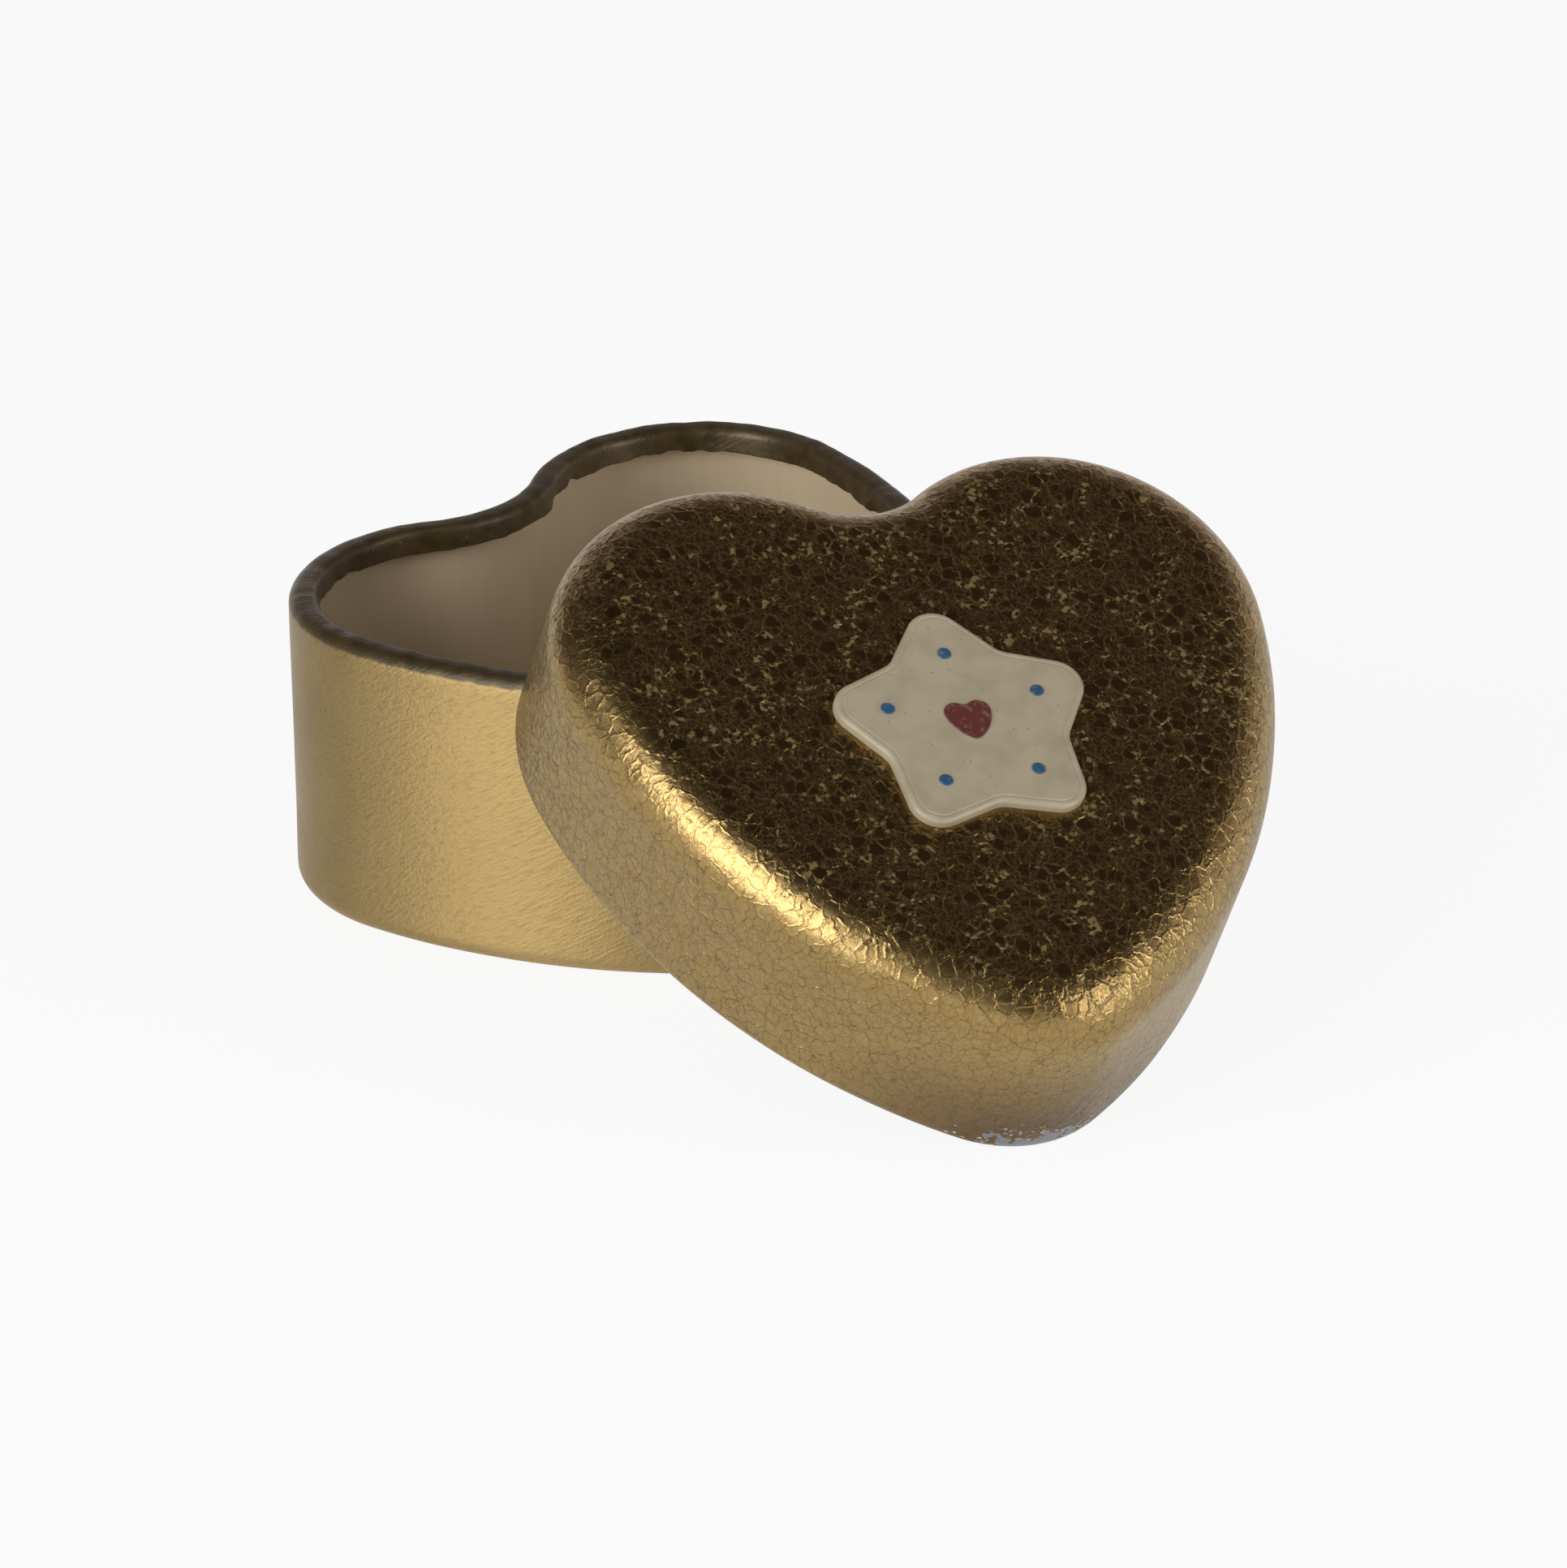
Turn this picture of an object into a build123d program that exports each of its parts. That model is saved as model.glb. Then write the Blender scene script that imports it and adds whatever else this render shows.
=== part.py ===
from build123d import *
from math import acos, atan2, cos, degrees, hypot, pi, radians, sin, sqrt
import os

# A heart-shaped slip-lid keepsake tin, millimetres, +Z up. The open base stands on its flat
# bottom with its tip towards -Y. The lid is off: it lies open side down beside the base,
# with its tip on the ground and its skirt leaning on the base's rim. The origin is under
# the base, on its symmetry plane and on the line through the centres of its two lobes.

# Heart outline of the base wall, at its outer face
half_width = 30.0
lobe_radius = 15.4
flank_radius = 52.3
tip_radius = 9.7
tip_reach = 31.5
notch_radius = 11.6

# Tinplate, the lacquer on its inside and the foil on the lid
sheet = 0.3
lacquer = 0.1
foil = 0.1

# Base
base_height = 27.8
foot_radius = 1.8
rim_width = 2.6
rim_drop = 2.4
rim_outer_share = 0.46
rim_inner_share = 0.3

# Lid, whose curled lower edge slips over the base with a running clearance
lid_height = 18.5
shoulder_radius = 5.3
curl_width = 1.7
curl_drop = 2.3
curl_share = 0.42
slip_clearance = 0.6

# Plaque on the lid, a star with rounded points
star_points = 5
point_reach = 13.4
valley_reach = 8.6
point_radius = 2.6
valley_radius = 2.4
plaque_thickness = 0.9
plaque_edge_radius = 0.4
plaque_setback = 12.6

# Enamel drops on the plaque: a heart in the middle and a dot towards each point
drop_thickness = 0.12
dot_radius = 0.6
dot_reach = 7.2
small_heart_share = 0.07

# Where the lid lies: its tip's centre from the base's tip centre, the heading of its
# steepest line, its own turn about that line, and its gaps to the rim and the ground
tip_aside = -15.1
tip_ahead = 32.3
lid_heading = -17.1
lid_spin = -7.6
rim_gap = 0.12
ground_gap = 0.04
upright = 60.0
settled_share = 0.0000001

# Worked out from the sizes above
foot_inset = foot_radius + sheet
rim_outer_radius = rim_width * rim_outer_share
rim_inner_radius = rim_width * rim_inner_share
curl_radius = curl_width * curl_share
skirt_offset = slip_clearance + curl_width
shoulder_inset = skirt_offset - shoulder_radius - sheet
lid_face = lid_height + foil


def heart_arcs():
    """The outline's arcs: centre, radius, start angle, swept angle, and -1 where it is hollow."""
    lobe_x = half_width - lobe_radius
    notch_y = sqrt((lobe_radius + notch_radius) ** 2 - lobe_x**2)
    span = hypot(lobe_x, tip_reach)
    to_lobe_centre = flank_radius - lobe_radius
    to_tip_centre = flank_radius - tip_radius
    spread = acos((to_lobe_centre**2 + span**2 - to_tip_centre**2) / (2 * to_lobe_centre * span))
    bearing = atan2(-tip_reach, -lobe_x) - spread
    flank_x = lobe_x + to_lobe_centre * cos(bearing)
    flank_y = to_lobe_centre * sin(bearing)
    lobe_start = atan2(-flank_y, lobe_x - flank_x)
    lobe_end = atan2(notch_y, -lobe_x)
    flank_start = atan2(-tip_reach - flank_y, -flank_x)
    right = [
        (lobe_x, 0, lobe_radius, lobe_start, lobe_end - lobe_start, 1),
        (flank_x, flank_y, flank_radius, flank_start, lobe_start - flank_start, 1),
    ]
    left = [(-x, y, r, pi - start - turn, turn, side) for x, y, r, start, turn, side in right]
    tip = (0, -tip_reach, tip_radius, -pi - flank_start, pi + 2 * flank_start, 1)
    notch = (0, notch_y, notch_radius, -lobe_end, 2 * lobe_end - pi, -1)
    return right + [notch] + left + [tip]


def heart_edges(offset):
    """The outline as arcs, offset outwards."""
    return [
        CenterArc((x, y), r + side * offset, degrees(start), degrees(turn))
        for x, y, r, start, turn, side in heart_arcs()
    ]


def heart_plate(offset, thickness):
    """A flat plate with the offset outline, its underside at zero height."""
    return extrude(make_face(heart_edges(offset)), thickness)


def bent_strip(corners, radii, thickness):
    """Section of a strip bent square to the left at each corner, from its outer line and radii."""
    points = [Vector(*corner) for corner in corners]
    runs = [(end - start).normalized() for start, end in zip(points, points[1:])]
    sides = [Vector(-run.Y, run.X) * thickness for run in runs]
    inner = [points[0] + sides[0]]
    inner += [point + a + b for point, a, b in zip(points[1:-1], sides, sides[1:])]
    inner += [points[-1] + sides[-1]]
    outside = FilletPolyline(*points, radius=radii)
    inside = FilletPolyline(*inner, radius=[radius - thickness for radius in radii])
    ends = [Line(points[0], inner[0]), Line(points[-1], inner[-1])]
    return make_face(outside.edges() + inside.edges() + ends)


def ring(section):
    """The ring that a section, in outward distance and height, sweeps round the outline."""
    sweeps = []
    for x, y, r, start, turn, side in heart_arcs():
        cut = Plane(origin=(x, y, 0), x_dir=(cos(start), sin(start), 0), z_dir=(sin(start), -cos(start), 0))
        profile = section if side > 0 else mirror(section, about=Plane.YZ)
        placed = cut * (Pos(r, 0, 0) * profile)
        sweeps.append(revolve(placed, Axis((x, y, 0), (0, 0, 1)), degrees(turn)))
    return sweeps[0].fuse(*sweeps[1:])


def base_shell():
    """Drawn cup: flat bottom, rounded foot, upright wall and a rim rolled inwards."""
    line = [
        (-foot_inset, 0),
        (0, 0),
        (0, base_height),
        (-rim_width, base_height),
        (-rim_width, base_height - rim_drop),
    ]
    wall = ring(bent_strip(line, [foot_radius, rim_outer_radius, rim_inner_radius], sheet))
    return wall.fuse(heart_plate(-foot_inset, sheet)).clean()


def base_lining():
    """Lacquer on the cup's inside, from the bottom up to where the rim starts to roll."""
    line = [(-foot_inset, sheet), (-sheet, sheet), (-sheet, base_height - rim_outer_radius)]
    wall = ring(bent_strip(line, [foot_radius - sheet], lacquer))
    return wall.fuse(Pos(0, 0, sheet) * heart_plate(-foot_inset, lacquer)).clean()


def lid_shell():
    """Drawn lid: flat top, round shoulder, skirt and a lower edge curled inwards."""
    line = [
        (slip_clearance, curl_drop),
        (slip_clearance, 0),
        (skirt_offset, 0),
        (skirt_offset, lid_height),
        (shoulder_inset, lid_height),
    ]
    wall = ring(bent_strip(line, [curl_radius, curl_radius, shoulder_radius], sheet))
    top = Pos(0, 0, lid_height - sheet) * heart_plate(shoulder_inset, sheet)
    return wall.fuse(top).clean()


def lid_foil():
    """Gold foil over the lid's outside, from the top down to the curl."""
    line = [(skirt_offset + foil, curl_radius), (skirt_offset + foil, lid_face), (shoulder_inset, lid_face)]
    wall = ring(bent_strip(line, [shoulder_radius + foil], foil))
    return wall.fuse(Pos(0, 0, lid_height) * heart_plate(shoulder_inset, foil)).clean()


def lid_lining():
    """Lacquer on the lid's inside, from the curl up to the top."""
    inside = skirt_offset - sheet
    ceiling = lid_height - sheet
    line = [(inside, curl_radius), (inside, ceiling), (shoulder_inset, ceiling)]
    wall = ring(bent_strip(line, [shoulder_radius - sheet], lacquer))
    return wall.fuse(Pos(0, 0, ceiling - lacquer) * heart_plate(shoulder_inset, lacquer)).clean()


def star_bearings():
    """Bearings of the star's points, the first one towards the lid's notch."""
    return [pi / 2 + 2 * pi * number / star_points for number in range(star_points)]


def lid_plaque():
    """Raised star with rounded points and valleys and a rounded top edge."""
    corners = []
    for bearing in star_bearings():
        valley = bearing + pi / star_points
        corners.append((point_reach * cos(bearing), point_reach * sin(bearing)))
        corners.append((valley_reach * cos(valley), valley_reach * sin(valley)))
    radii = [point_radius, valley_radius] * star_points
    block = extrude(make_face(FilletPolyline(*corners, radius=radii, close=True).edges()), plaque_thickness)
    star = fillet(block.edges().group_by(Axis.Z)[-1], plaque_edge_radius)
    return Pos(0, -plaque_setback, lid_face) * star


def plaque_heart():
    """Small heart of enamel in the middle of the plaque, the outline of the tin made small."""
    small = scale(make_face(heart_edges(0)), by=small_heart_share)
    middle_y = small_heart_share * (lobe_radius - tip_reach - tip_radius) / 2
    along = -plaque_setback - middle_y
    return Pos(0, along, lid_face + plaque_thickness) * extrude(small, drop_thickness)


def plaque_dot(bearing):
    """Dot of enamel towards one point of the star."""
    dot = extrude(Circle(dot_radius), drop_thickness)
    aside = dot_reach * cos(bearing)
    along = dot_reach * sin(bearing) - plaque_setback
    return Pos(aside, along, lid_face + plaque_thickness) * dot


def lid_location(lean):
    """The lid's place when it leans by an angle, with its tip's curl just clear of the ground."""
    turn = Rot(0, 0, lid_heading) * Rot(lean, 0, 0) * Rot(0, 0, lid_spin)
    tip_drop = (tip_radius + skirt_offset - curl_radius) * sin(radians(lean))
    foot = Pos(tip_aside, -tip_reach - tip_ahead, ground_gap + curl_radius + tip_drop)
    return foot * turn * Pos(0, tip_reach, -curl_radius)


def seated_lean():
    """The lean at which the lid, let down about its tip, comes to the rim of the base."""
    rim_line = Wire(heart_edges(-rim_outer_radius)).moved(Pos(0, 0, base_height - rim_outer_radius))
    curl_line = Wire(heart_edges(skirt_offset - curl_radius)).moved(Pos(0, 0, curl_radius))
    rest = rim_outer_radius + curl_radius + rim_gap
    reach = tip_reach + tip_radius + half_width + skirt_offset
    lean = upright
    move = upright
    while move > upright * settled_share:
        move = degrees((rim_line.distance_to(curl_line.moved(lid_location(lean))) - rest) / reach)
        lean -= move
    return lean


lid_place = lid_location(seated_lean())
parts = {"base_shell": base_shell(), "base_lining": base_lining()}
lid_parts = {
    "lid_shell": lid_shell(),
    "lid_foil": lid_foil(),
    "lid_lining": lid_lining(),
    "lid_plaque": lid_plaque(),
    "plaque_heart": plaque_heart(),
}
for number, bearing in enumerate(star_bearings(), start=1):
    lid_parts[f"plaque_dot_{number}"] = plaque_dot(bearing)
for name, shape in lid_parts.items():
    parts[name] = lid_place * shape

os.makedirs("parts", exist_ok=True)
for name, shape in parts.items():
    export_step(shape, f"parts/{name}.step")
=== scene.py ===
from math import acos, atan2, cos, hypot, pi, radians, sin, sqrt, tan

import bpy
from bpy.props import FloatProperty, FloatVectorProperty, IntProperty, PointerProperty
from mathutils import Euler, Matrix, Vector


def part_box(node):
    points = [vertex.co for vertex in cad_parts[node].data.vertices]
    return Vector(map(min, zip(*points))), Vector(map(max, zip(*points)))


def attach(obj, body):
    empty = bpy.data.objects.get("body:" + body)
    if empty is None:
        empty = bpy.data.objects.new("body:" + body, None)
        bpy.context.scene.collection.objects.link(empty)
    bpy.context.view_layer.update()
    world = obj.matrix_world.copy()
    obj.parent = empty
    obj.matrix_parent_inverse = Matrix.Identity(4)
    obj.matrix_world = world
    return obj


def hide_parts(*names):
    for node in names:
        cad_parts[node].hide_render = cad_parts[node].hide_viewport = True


bl_info = {
    "name": "Heart keepsake tin",
    "version": (1, 0, 0),
    "blender": (4, 5, 0),
    "location": "3D View > Sidebar > Keepsake tin",
    "description": "Builds a heart-shaped slip-lid tin with a crackled gold foil lid and an enamelled star",
    "category": "Add Mesh",
}

# A drawn tinplate heart tin, open, its lid leaning on the base's rim. Metres, +Z up.
MM = 0.001
SEED = 11.0

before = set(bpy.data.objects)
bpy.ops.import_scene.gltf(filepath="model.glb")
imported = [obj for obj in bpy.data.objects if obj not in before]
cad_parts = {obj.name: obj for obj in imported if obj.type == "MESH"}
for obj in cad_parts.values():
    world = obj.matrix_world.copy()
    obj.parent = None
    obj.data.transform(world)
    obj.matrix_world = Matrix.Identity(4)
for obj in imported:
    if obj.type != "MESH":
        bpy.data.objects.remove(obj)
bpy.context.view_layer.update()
BASE_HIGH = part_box("base_shell")[1]


def linear(hex_value):
    """An sRGB hex colour as linear red, green and blue."""
    shares = [int(hex_value[place : place + 2], 16) / 255 for place in (0, 2, 4)]
    return [share / 12.92 if share <= 0.04045 else ((share + 0.055) / 1.055) ** 2.4 for share in shares]


def length(name, description, millimetres):
    """A length of at least nothing, given in millimetres and kept in metres."""
    return FloatProperty(
        name=name, description=description, default=millimetres * MM, min=0, unit="LENGTH", precision=5
    )


def share_of(name, description, share):
    """One size as a share of another."""
    return FloatProperty(name=name, description=description, default=share, min=0, subtype="FACTOR")


def angle_of(name, description, degrees):
    """An angle, given in degrees."""
    return FloatProperty(name=name, description=description, default=radians(degrees), subtype="ANGLE")


def place_of(name, description, place):
    """A place in metres."""
    return FloatVectorProperty(
        name=name, description=description, default=place, size=3, subtype="TRANSLATION"
    )


def count_of(name, description, number, least=1):
    """A whole number of points, sides or rings."""
    return IntProperty(name=name, description=description, default=number, min=least)


def colour(name, description, hex_value):
    """A colour, given as sRGB hex and kept linear."""
    return FloatVectorProperty(
        name=name, description=description, default=linear(hex_value), min=0, max=1, size=3, subtype="COLOR"
    )


class TinSizes(bpy.types.PropertyGroup):
    """Sizes of the pressed heart, the same as those of its solids."""

    half_width: length("Half width", "Half the base's width across its lobes", BASE_HIGH.x / MM)
    lobe_radius: length("Lobe radius", "Radius of the two lobes", 15.4)
    flank_radius: length("Flank radius", "Radius of the long sides", 52.3)
    tip_radius: length("Tip radius", "Radius of the rounded tip", 9.7)
    tip_reach: length("Tip reach", "From the lobes' centres to the tip's centre", 31.5)
    notch_radius: length("Notch radius", "Radius of the hollow between the lobes", 11.6)
    sheet: length("Sheet", "Thickness of the tinplate", 0.3)
    lacquer: length("Lacquer", "Thickness of the coat inside", 0.1)
    foil: length("Foil", "Thickness of the foil on the lid", 0.1)
    base_height: length("Base height", "Height of the base over its rim", BASE_HIGH.z / MM)
    foot_radius: length("Foot radius", "Radius between bottom and wall", 1.8)
    rim_width: length("Rim width", "Width of the rolled rim", 2.6)
    rim_drop: length("Rim drop", "From the rim's top to its raw edge", 2.4)
    rim_outer_radius: length("Rim outer radius", "Radius where the wall rolls in", 1.196)
    rim_inner_radius: length("Rim inner radius", "Radius where the rim rolls down", 0.78)
    lid_height: length("Lid height", "Height of the lid's tinplate", 18.5)
    shoulder_radius: length("Shoulder radius", "Radius between the lid's top and skirt", 5.3)
    curl_width: length("Curl width", "Width of the lid's curled edge", 1.7)
    curl_drop: length("Curl height", "From the lid's lower edge to the curl's raw edge", 2.3)
    curl_radius: length("Curl radius", "Radius of the curled edge", 0.714)
    slip_clearance: length("Slip clearance", "Running gap between base and lid", 0.6)
    hem_wave: length("Hem wave", "How far the raw edge of the rim wanders", 0.6)
    hem_wave_length: length("Hem wave length", "Length of one wander of the raw edge", 3.4)
    dent_depth: length("Dent depth", "How far hand pressing pulls the walls in", 0.07)
    dent_size: length("Dent size", "Width of one such hollow", 9.0)
    rim_dent_depth: length("Rim dent depth", "Depth of the small knocks along the rim", 0.16)
    plates_middle: length("Middle of the plates", "From the lobes' centres to where its rings close", 5.0)
    spacing: length("Spacing", "Distance between points round an outline", 0.34)
    rim_step: length("Rim step", "Distance between points of the base's section", 0.26)
    wall_step: length("Wall step", "Distance between them up its straight walls", 0.8)
    foil_step: length("Foil step", "Distance between points of the foil's section", 0.4)
    lid_step: length("Lid step", "Distance between points of the lid's section", 0.45)
    coat_step: length("Coat step", "Distance between points of a coat's section", 0.6)
    base_rings: count_of("Base rings", "Rings in the base's flat plates", 12)
    plate_rings: count_of("Plate rings", "Rings in the other flat plates", 8)
    foil_rings: count_of("Foil rings", "Rings in the foil's flat plate", 20)
    rim_edge_share: share_of("Rim edge share", "Rounding of the rim's raw edge by its sheet", 0.35)
    edge_share: share_of("Edge share", "Rounding of the other raw edges by their sheet", 0.3)


class PlaqueSizes(bpy.types.PropertyGroup):
    """Sizes of the enamelled star on the lid."""

    point_count: count_of("Points", "Points of the star", 5, 3)
    point_reach: length("Point reach", "From the middle to a point's corner", 13.4)
    valley_reach: length("Valley reach", "From the middle to a valley's corner", 8.6)
    point_radius: length("Point radius", "Radius of a point", 2.6)
    valley_radius: length("Valley radius", "Radius of a valley", 2.4)
    thickness: length("Thickness", "Height of the star over the foil", 0.9)
    edge_radius: length("Edge radius", "Radius of its upper edge", 0.4)
    setback: length("Setback", "From the lobes' centres to the star's middle", 12.6)
    groove_inset: length("Groove inset", "From the outline to the pressed line", 0.62)
    groove_width: length("Groove width", "Width of the pressed line", 0.24)
    groove_depth: length("Groove depth", "Depth of the pressed line", 0.07)
    groove_radius: length("Groove radius", "Radius of the pressed line's edges", 0.06)
    star_rings: count_of("Star rings", "Rings in the star's flat plates", 10)
    drop_rings: count_of("Drop rings", "Rings in a drop's flat plates", 5)
    dot_sides: count_of("Dot sides", "Sides of a dot's outline", 28, 8)
    foot_radius: length("Foot radius", "Radius at its foot", 0.03)
    star_step: length("Star step", "Distance between points round the star", 0.22)
    edge_step: length("Edge step", "Distance between points of the star's section", 0.1)
    heart_share: share_of("Heart share", "Small heart by the tin's outline", 0.07)
    drop_thickness: length("Drop thickness", "Height of the enamel drops", 0.12)
    drop_sink: length("Drop sink", "How far the drops sink into the star", 0.02)
    drop_plate: length("Drop plate", "Width of a drop's rounded edge", 0.3)
    drop_foot: length("Drop foot", "Radius at a drop's foot", 0.01)
    drop_edge_share: share_of("Drop edge share", "Rounding of a drop by its height", 0.9)
    drop_step: length("Drop step", "Distance between points of a drop's section", 0.03)
    dot_radius: length("Dot radius", "Radius of a dot", 0.6)
    dot_reach: length("Dot reach", "From the star's middle to a dot", 7.2)


class TinColours(bpy.types.PropertyGroup):
    """Colours of the metals, coats and enamels."""

    gold_lacquer: colour("Gold lacquer", "Lacquered wall of the base", "A9905E")
    gold_lacquer_worn: colour("Worn lacquer", "Darker specks and streaks in it", "84704A")
    # Dark colour of the rolled rim: partly a scorched patina, partly painted shade inside the curl where the
    # rim turns down
    tarnish_and_shade: colour("Tarnish", "Lacquer burnt dark on the rolled rim", "46391F")
    foil_gold: colour("Foil gold", "Smooth foil", "B0965F")
    # Painted shade: the top of the foil is coloured darker, as it faces the dim room above
    foil_top_shade: colour("Foil top", "Browned foil of the top", "917646")
    foil_crack: colour("Foil crack", "Thin cracks in the foil", "6E4A26")
    # Painted shade: the foil round the tip's foot is coloured darker, for the shadowed floor it reflects
    foil_tip_shade: colour("Foil soil", "Foil soiled by hands round the tip", "665038")
    foil_fleck: colour("Foil fleck", "Dull folds and flecks in it", "A8945F")
    foil_scratch: colour("Foil scratch", "Short scratches by the chipped tip", "D2CABA")
    tinplate: colour("Tinplate", "Bare sheet", "888B91")
    inside_lacquer: colour("Inside lacquer", "Coat inside base and lid", "D2BEA0")
    inside_streak: colour("Inside streak", "Draw lines in that coat", "C2AE90")
    cream_enamel: colour("Cream enamel", "Star", "B6AA90")
    cream_speck: colour("Cream speck", "Specks and thin places in it", "81765E")
    red_enamel: colour("Red enamel", "Small heart", "683430")
    blue_enamel: colour("Blue enamel", "Dots", "33587A")


class StageSettings(bpy.types.PropertyGroup):
    """Camera, lamps, world and floor."""

    lens: FloatProperty(name="Lens", description="Focal length of the camera", default=250.095, unit="CAMERA")
    sensor: FloatProperty(name="Sensor", description="Width of its sensor", default=36.0, unit="CAMERA")
    camera_place: place_of("Camera place", "Where the camera stands", (-0.6127, -0.63181, 0.42506))
    heading: angle_of("Heading", "Its turn about +Z", -45.263)
    pitch: angle_of("Pitch", "How far below the horizon it looks", 25.625)
    roll: angle_of("Roll", "Its turn about its own axis", -0.92)
    left_lamp: FloatProperty(name="Left softbox", description="Radiance of the left softbox", default=5.7)
    right_lamp: FloatProperty(name="Right softbox", description="Radiance of the right softbox", default=4.1)
    fill: FloatProperty(name="Fill", description="Level of the world's soft light", default=0.25)
    lamp_aim: place_of("Lamp aim", "Where both softboxes point", (-0.01, -0.02, 0.02))
    lamp_distance: length("Lamp distance", "From there to a softbox", 850.0)
    floor_half: length("Floor half", "Half the floor's width", 4000.0)
    floor: colour("Floor", "Plain pale floor", "FAFAF8")


# ---------------------------------------------------------------- outlines and sections


def heart_outline(sizes, scale=1):
    """Points round the heart from its tip, anticlockwise, each with its direction outwards."""
    lobe_x = sizes.half_width - sizes.lobe_radius
    notch_y = sqrt((sizes.lobe_radius + sizes.notch_radius) ** 2 - lobe_x**2)
    span = hypot(lobe_x, sizes.tip_reach)
    to_lobe = sizes.flank_radius - sizes.lobe_radius
    to_tip = sizes.flank_radius - sizes.tip_radius
    spread = acos((to_lobe**2 + span**2 - to_tip**2) / (2 * to_lobe * span))
    bearing = atan2(-sizes.tip_reach, -lobe_x) - spread
    flank_x = lobe_x + to_lobe * cos(bearing)
    flank_y = to_lobe * sin(bearing)
    lobe_start = atan2(-flank_y, lobe_x - flank_x)
    lobe_end = atan2(notch_y, -lobe_x)
    flank_start = atan2(-sizes.tip_reach - flank_y, -flank_x)
    lobe_turn = lobe_end - lobe_start
    flank_turn = lobe_start - flank_start
    arcs = [
        (0, -sizes.tip_reach, sizes.tip_radius, -pi - flank_start, pi + 2 * flank_start, 1),
        (flank_x, flank_y, sizes.flank_radius, flank_start, flank_turn, 1),
        (lobe_x, 0, sizes.lobe_radius, lobe_start, lobe_turn, 1),
        (0, notch_y, sizes.notch_radius, lobe_end - pi, pi - 2 * lobe_end, -1),
        (-lobe_x, 0, sizes.lobe_radius, pi - lobe_end, lobe_turn, 1),
        (-flank_x, flank_y, sizes.flank_radius, pi - lobe_start, flank_turn, 1),
    ]
    points, outward = [], []
    for x, y, radius, start, turn, side in arcs:
        count = max(3, round(abs(turn) * radius / sizes.spacing))
        # A heart made small needs a quarter of the points
        if scale < 1:
            count = max(3, round(count / 4))
        for number in range(count):
            angle = start + turn * number / count
            direction = Vector((cos(angle), sin(angle), 0))
            points.append((Vector((x, y, 0)) + radius * direction) * scale)
            outward.append(side * direction)
    return points, outward


def bent_line(corners, radii, step, wall_step=None):
    """Points along a line that is bent to a radius at each inner corner, further apart up a wall."""
    corners = [Vector(corner) for corner in corners]
    points = [corners[0]]
    for before, corner, after, radius in zip(corners, corners[1:], corners[2:], radii):
        into, out = (corner - before).normalized(), (after - corner).normalized()
        turn = atan2(into.x * out.y - into.y * out.x, into.dot(out))
        start = corner - into * radius * tan(abs(turn) / 2)
        side = Vector((-into.y, into.x)) * (1 if turn > 0 else -1)
        centre = start + side * radius
        run = (start - points[-1]).length
        # A straight run of over four wall steps is a wall
        count = round(run / (wall_step if wall_step and run > 4 * wall_step else step))
        for number in range(1, count):
            points.append(points[-1].lerp(start, 1 / (count - number + 1)))
        count = max(3, round(abs(turn) * radius / step))
        for number in range(count + 1):
            angle = turn * number / count
            arm = start - centre
            points.append(centre + Vector((
                arm.x * cos(angle) - arm.y * sin(angle),
                arm.x * sin(angle) + arm.y * cos(angle),
            )))
    end, last = corners[-1], points[-1]
    count = max(1, round((end - last).length / step))
    points += [last.lerp(end, number / count) for number in range(1, count + 1)]
    return points


def star_outline(plaque):
    """Points round the star, anticlockwise, each with its direction outwards."""
    corners, radii = [], []
    for number in range(plaque.point_count):
        for turn, reach, radius in (
            (0, plaque.point_reach, plaque.point_radius),
            (0.5, plaque.valley_reach, plaque.valley_radius),
        ):
            bearing = pi / 2 + 2 * pi * (number + turn) / plaque.point_count
            corners.append(Vector((reach * cos(bearing), reach * sin(bearing))))
            radii.append(radius)
    seam = corners[0].lerp(corners[-1], 0.5)
    line = bent_line([seam, *corners, seam], radii, plaque.star_step)[:-1]
    points = [Vector((point.x, point.y, 0)) for point in line]
    outward = []
    for before, after in zip([points[-1]] + points[:-1], points[1:] + [points[0]]):
        along = (after - before).normalized()
        outward.append(Vector((along.y, -along.x, 0)))
    return points, outward


def circle_outline(radius, count):
    """Points round a circle, anticlockwise, each with its direction outwards."""
    outward = [Vector((cos(2 * pi * n / count), sin(2 * pi * n / count), 0)) for n in range(count)]
    return [direction * radius for direction in outward], outward


def closed_section(corners, radii, step, plates, hem=None, rim=None, wall_step=None):
    """Section of a shell as points of reach from the middle, distance outwards and height.

    Both ends run on to the middle as flat plates. hem and rim give each point's share in the
    raw edge's wander and in the rim's knocks. The points are further apart up a straight wall.
    """
    line = bent_line(corners, radii, step, wall_step)
    first, last = line[0], line[-1]
    rows = [(number / plates, first.x, first.y) for number in range(plates)]
    rows += [(1, point.x, point.y) for point in line]
    rows += [(number / plates, last.x, last.y) for number in reversed(range(plates))]
    return [
        (reach, out, up, hem(out, up) if hem and reach == 1 else 0, rim(out, up) if rim and reach == 1 else 0)
        for reach, out, up in rows
    ]


# ---------------------------------------------------------------- node helper and the sweep


def add(tree, kind, inputs=None, **settings):
    """Adds a node with its settings. Each input is a value, or an output to link from."""
    node = tree.nodes.new(kind)
    for name, value in settings.items():
        setattr(node, name, value)
    for key, value in (inputs or {}).items():
        if isinstance(value, bpy.types.NodeSocket):
            tree.links.new(value, node.inputs[key])
        else:
            node.inputs[key].default_value = value
    return node


def new_tree(name, sockets):
    """A Geometry Nodes tree with its named inputs."""
    tree = bpy.data.node_groups.new(name, "GeometryNodeTree")
    tree.interface.new_socket("Geometry", in_out="OUTPUT", socket_type="NodeSocketGeometry")
    for label, kind in sockets:
        tree.interface.new_socket(label, in_out="INPUT", socket_type=kind)
    return tree


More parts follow.
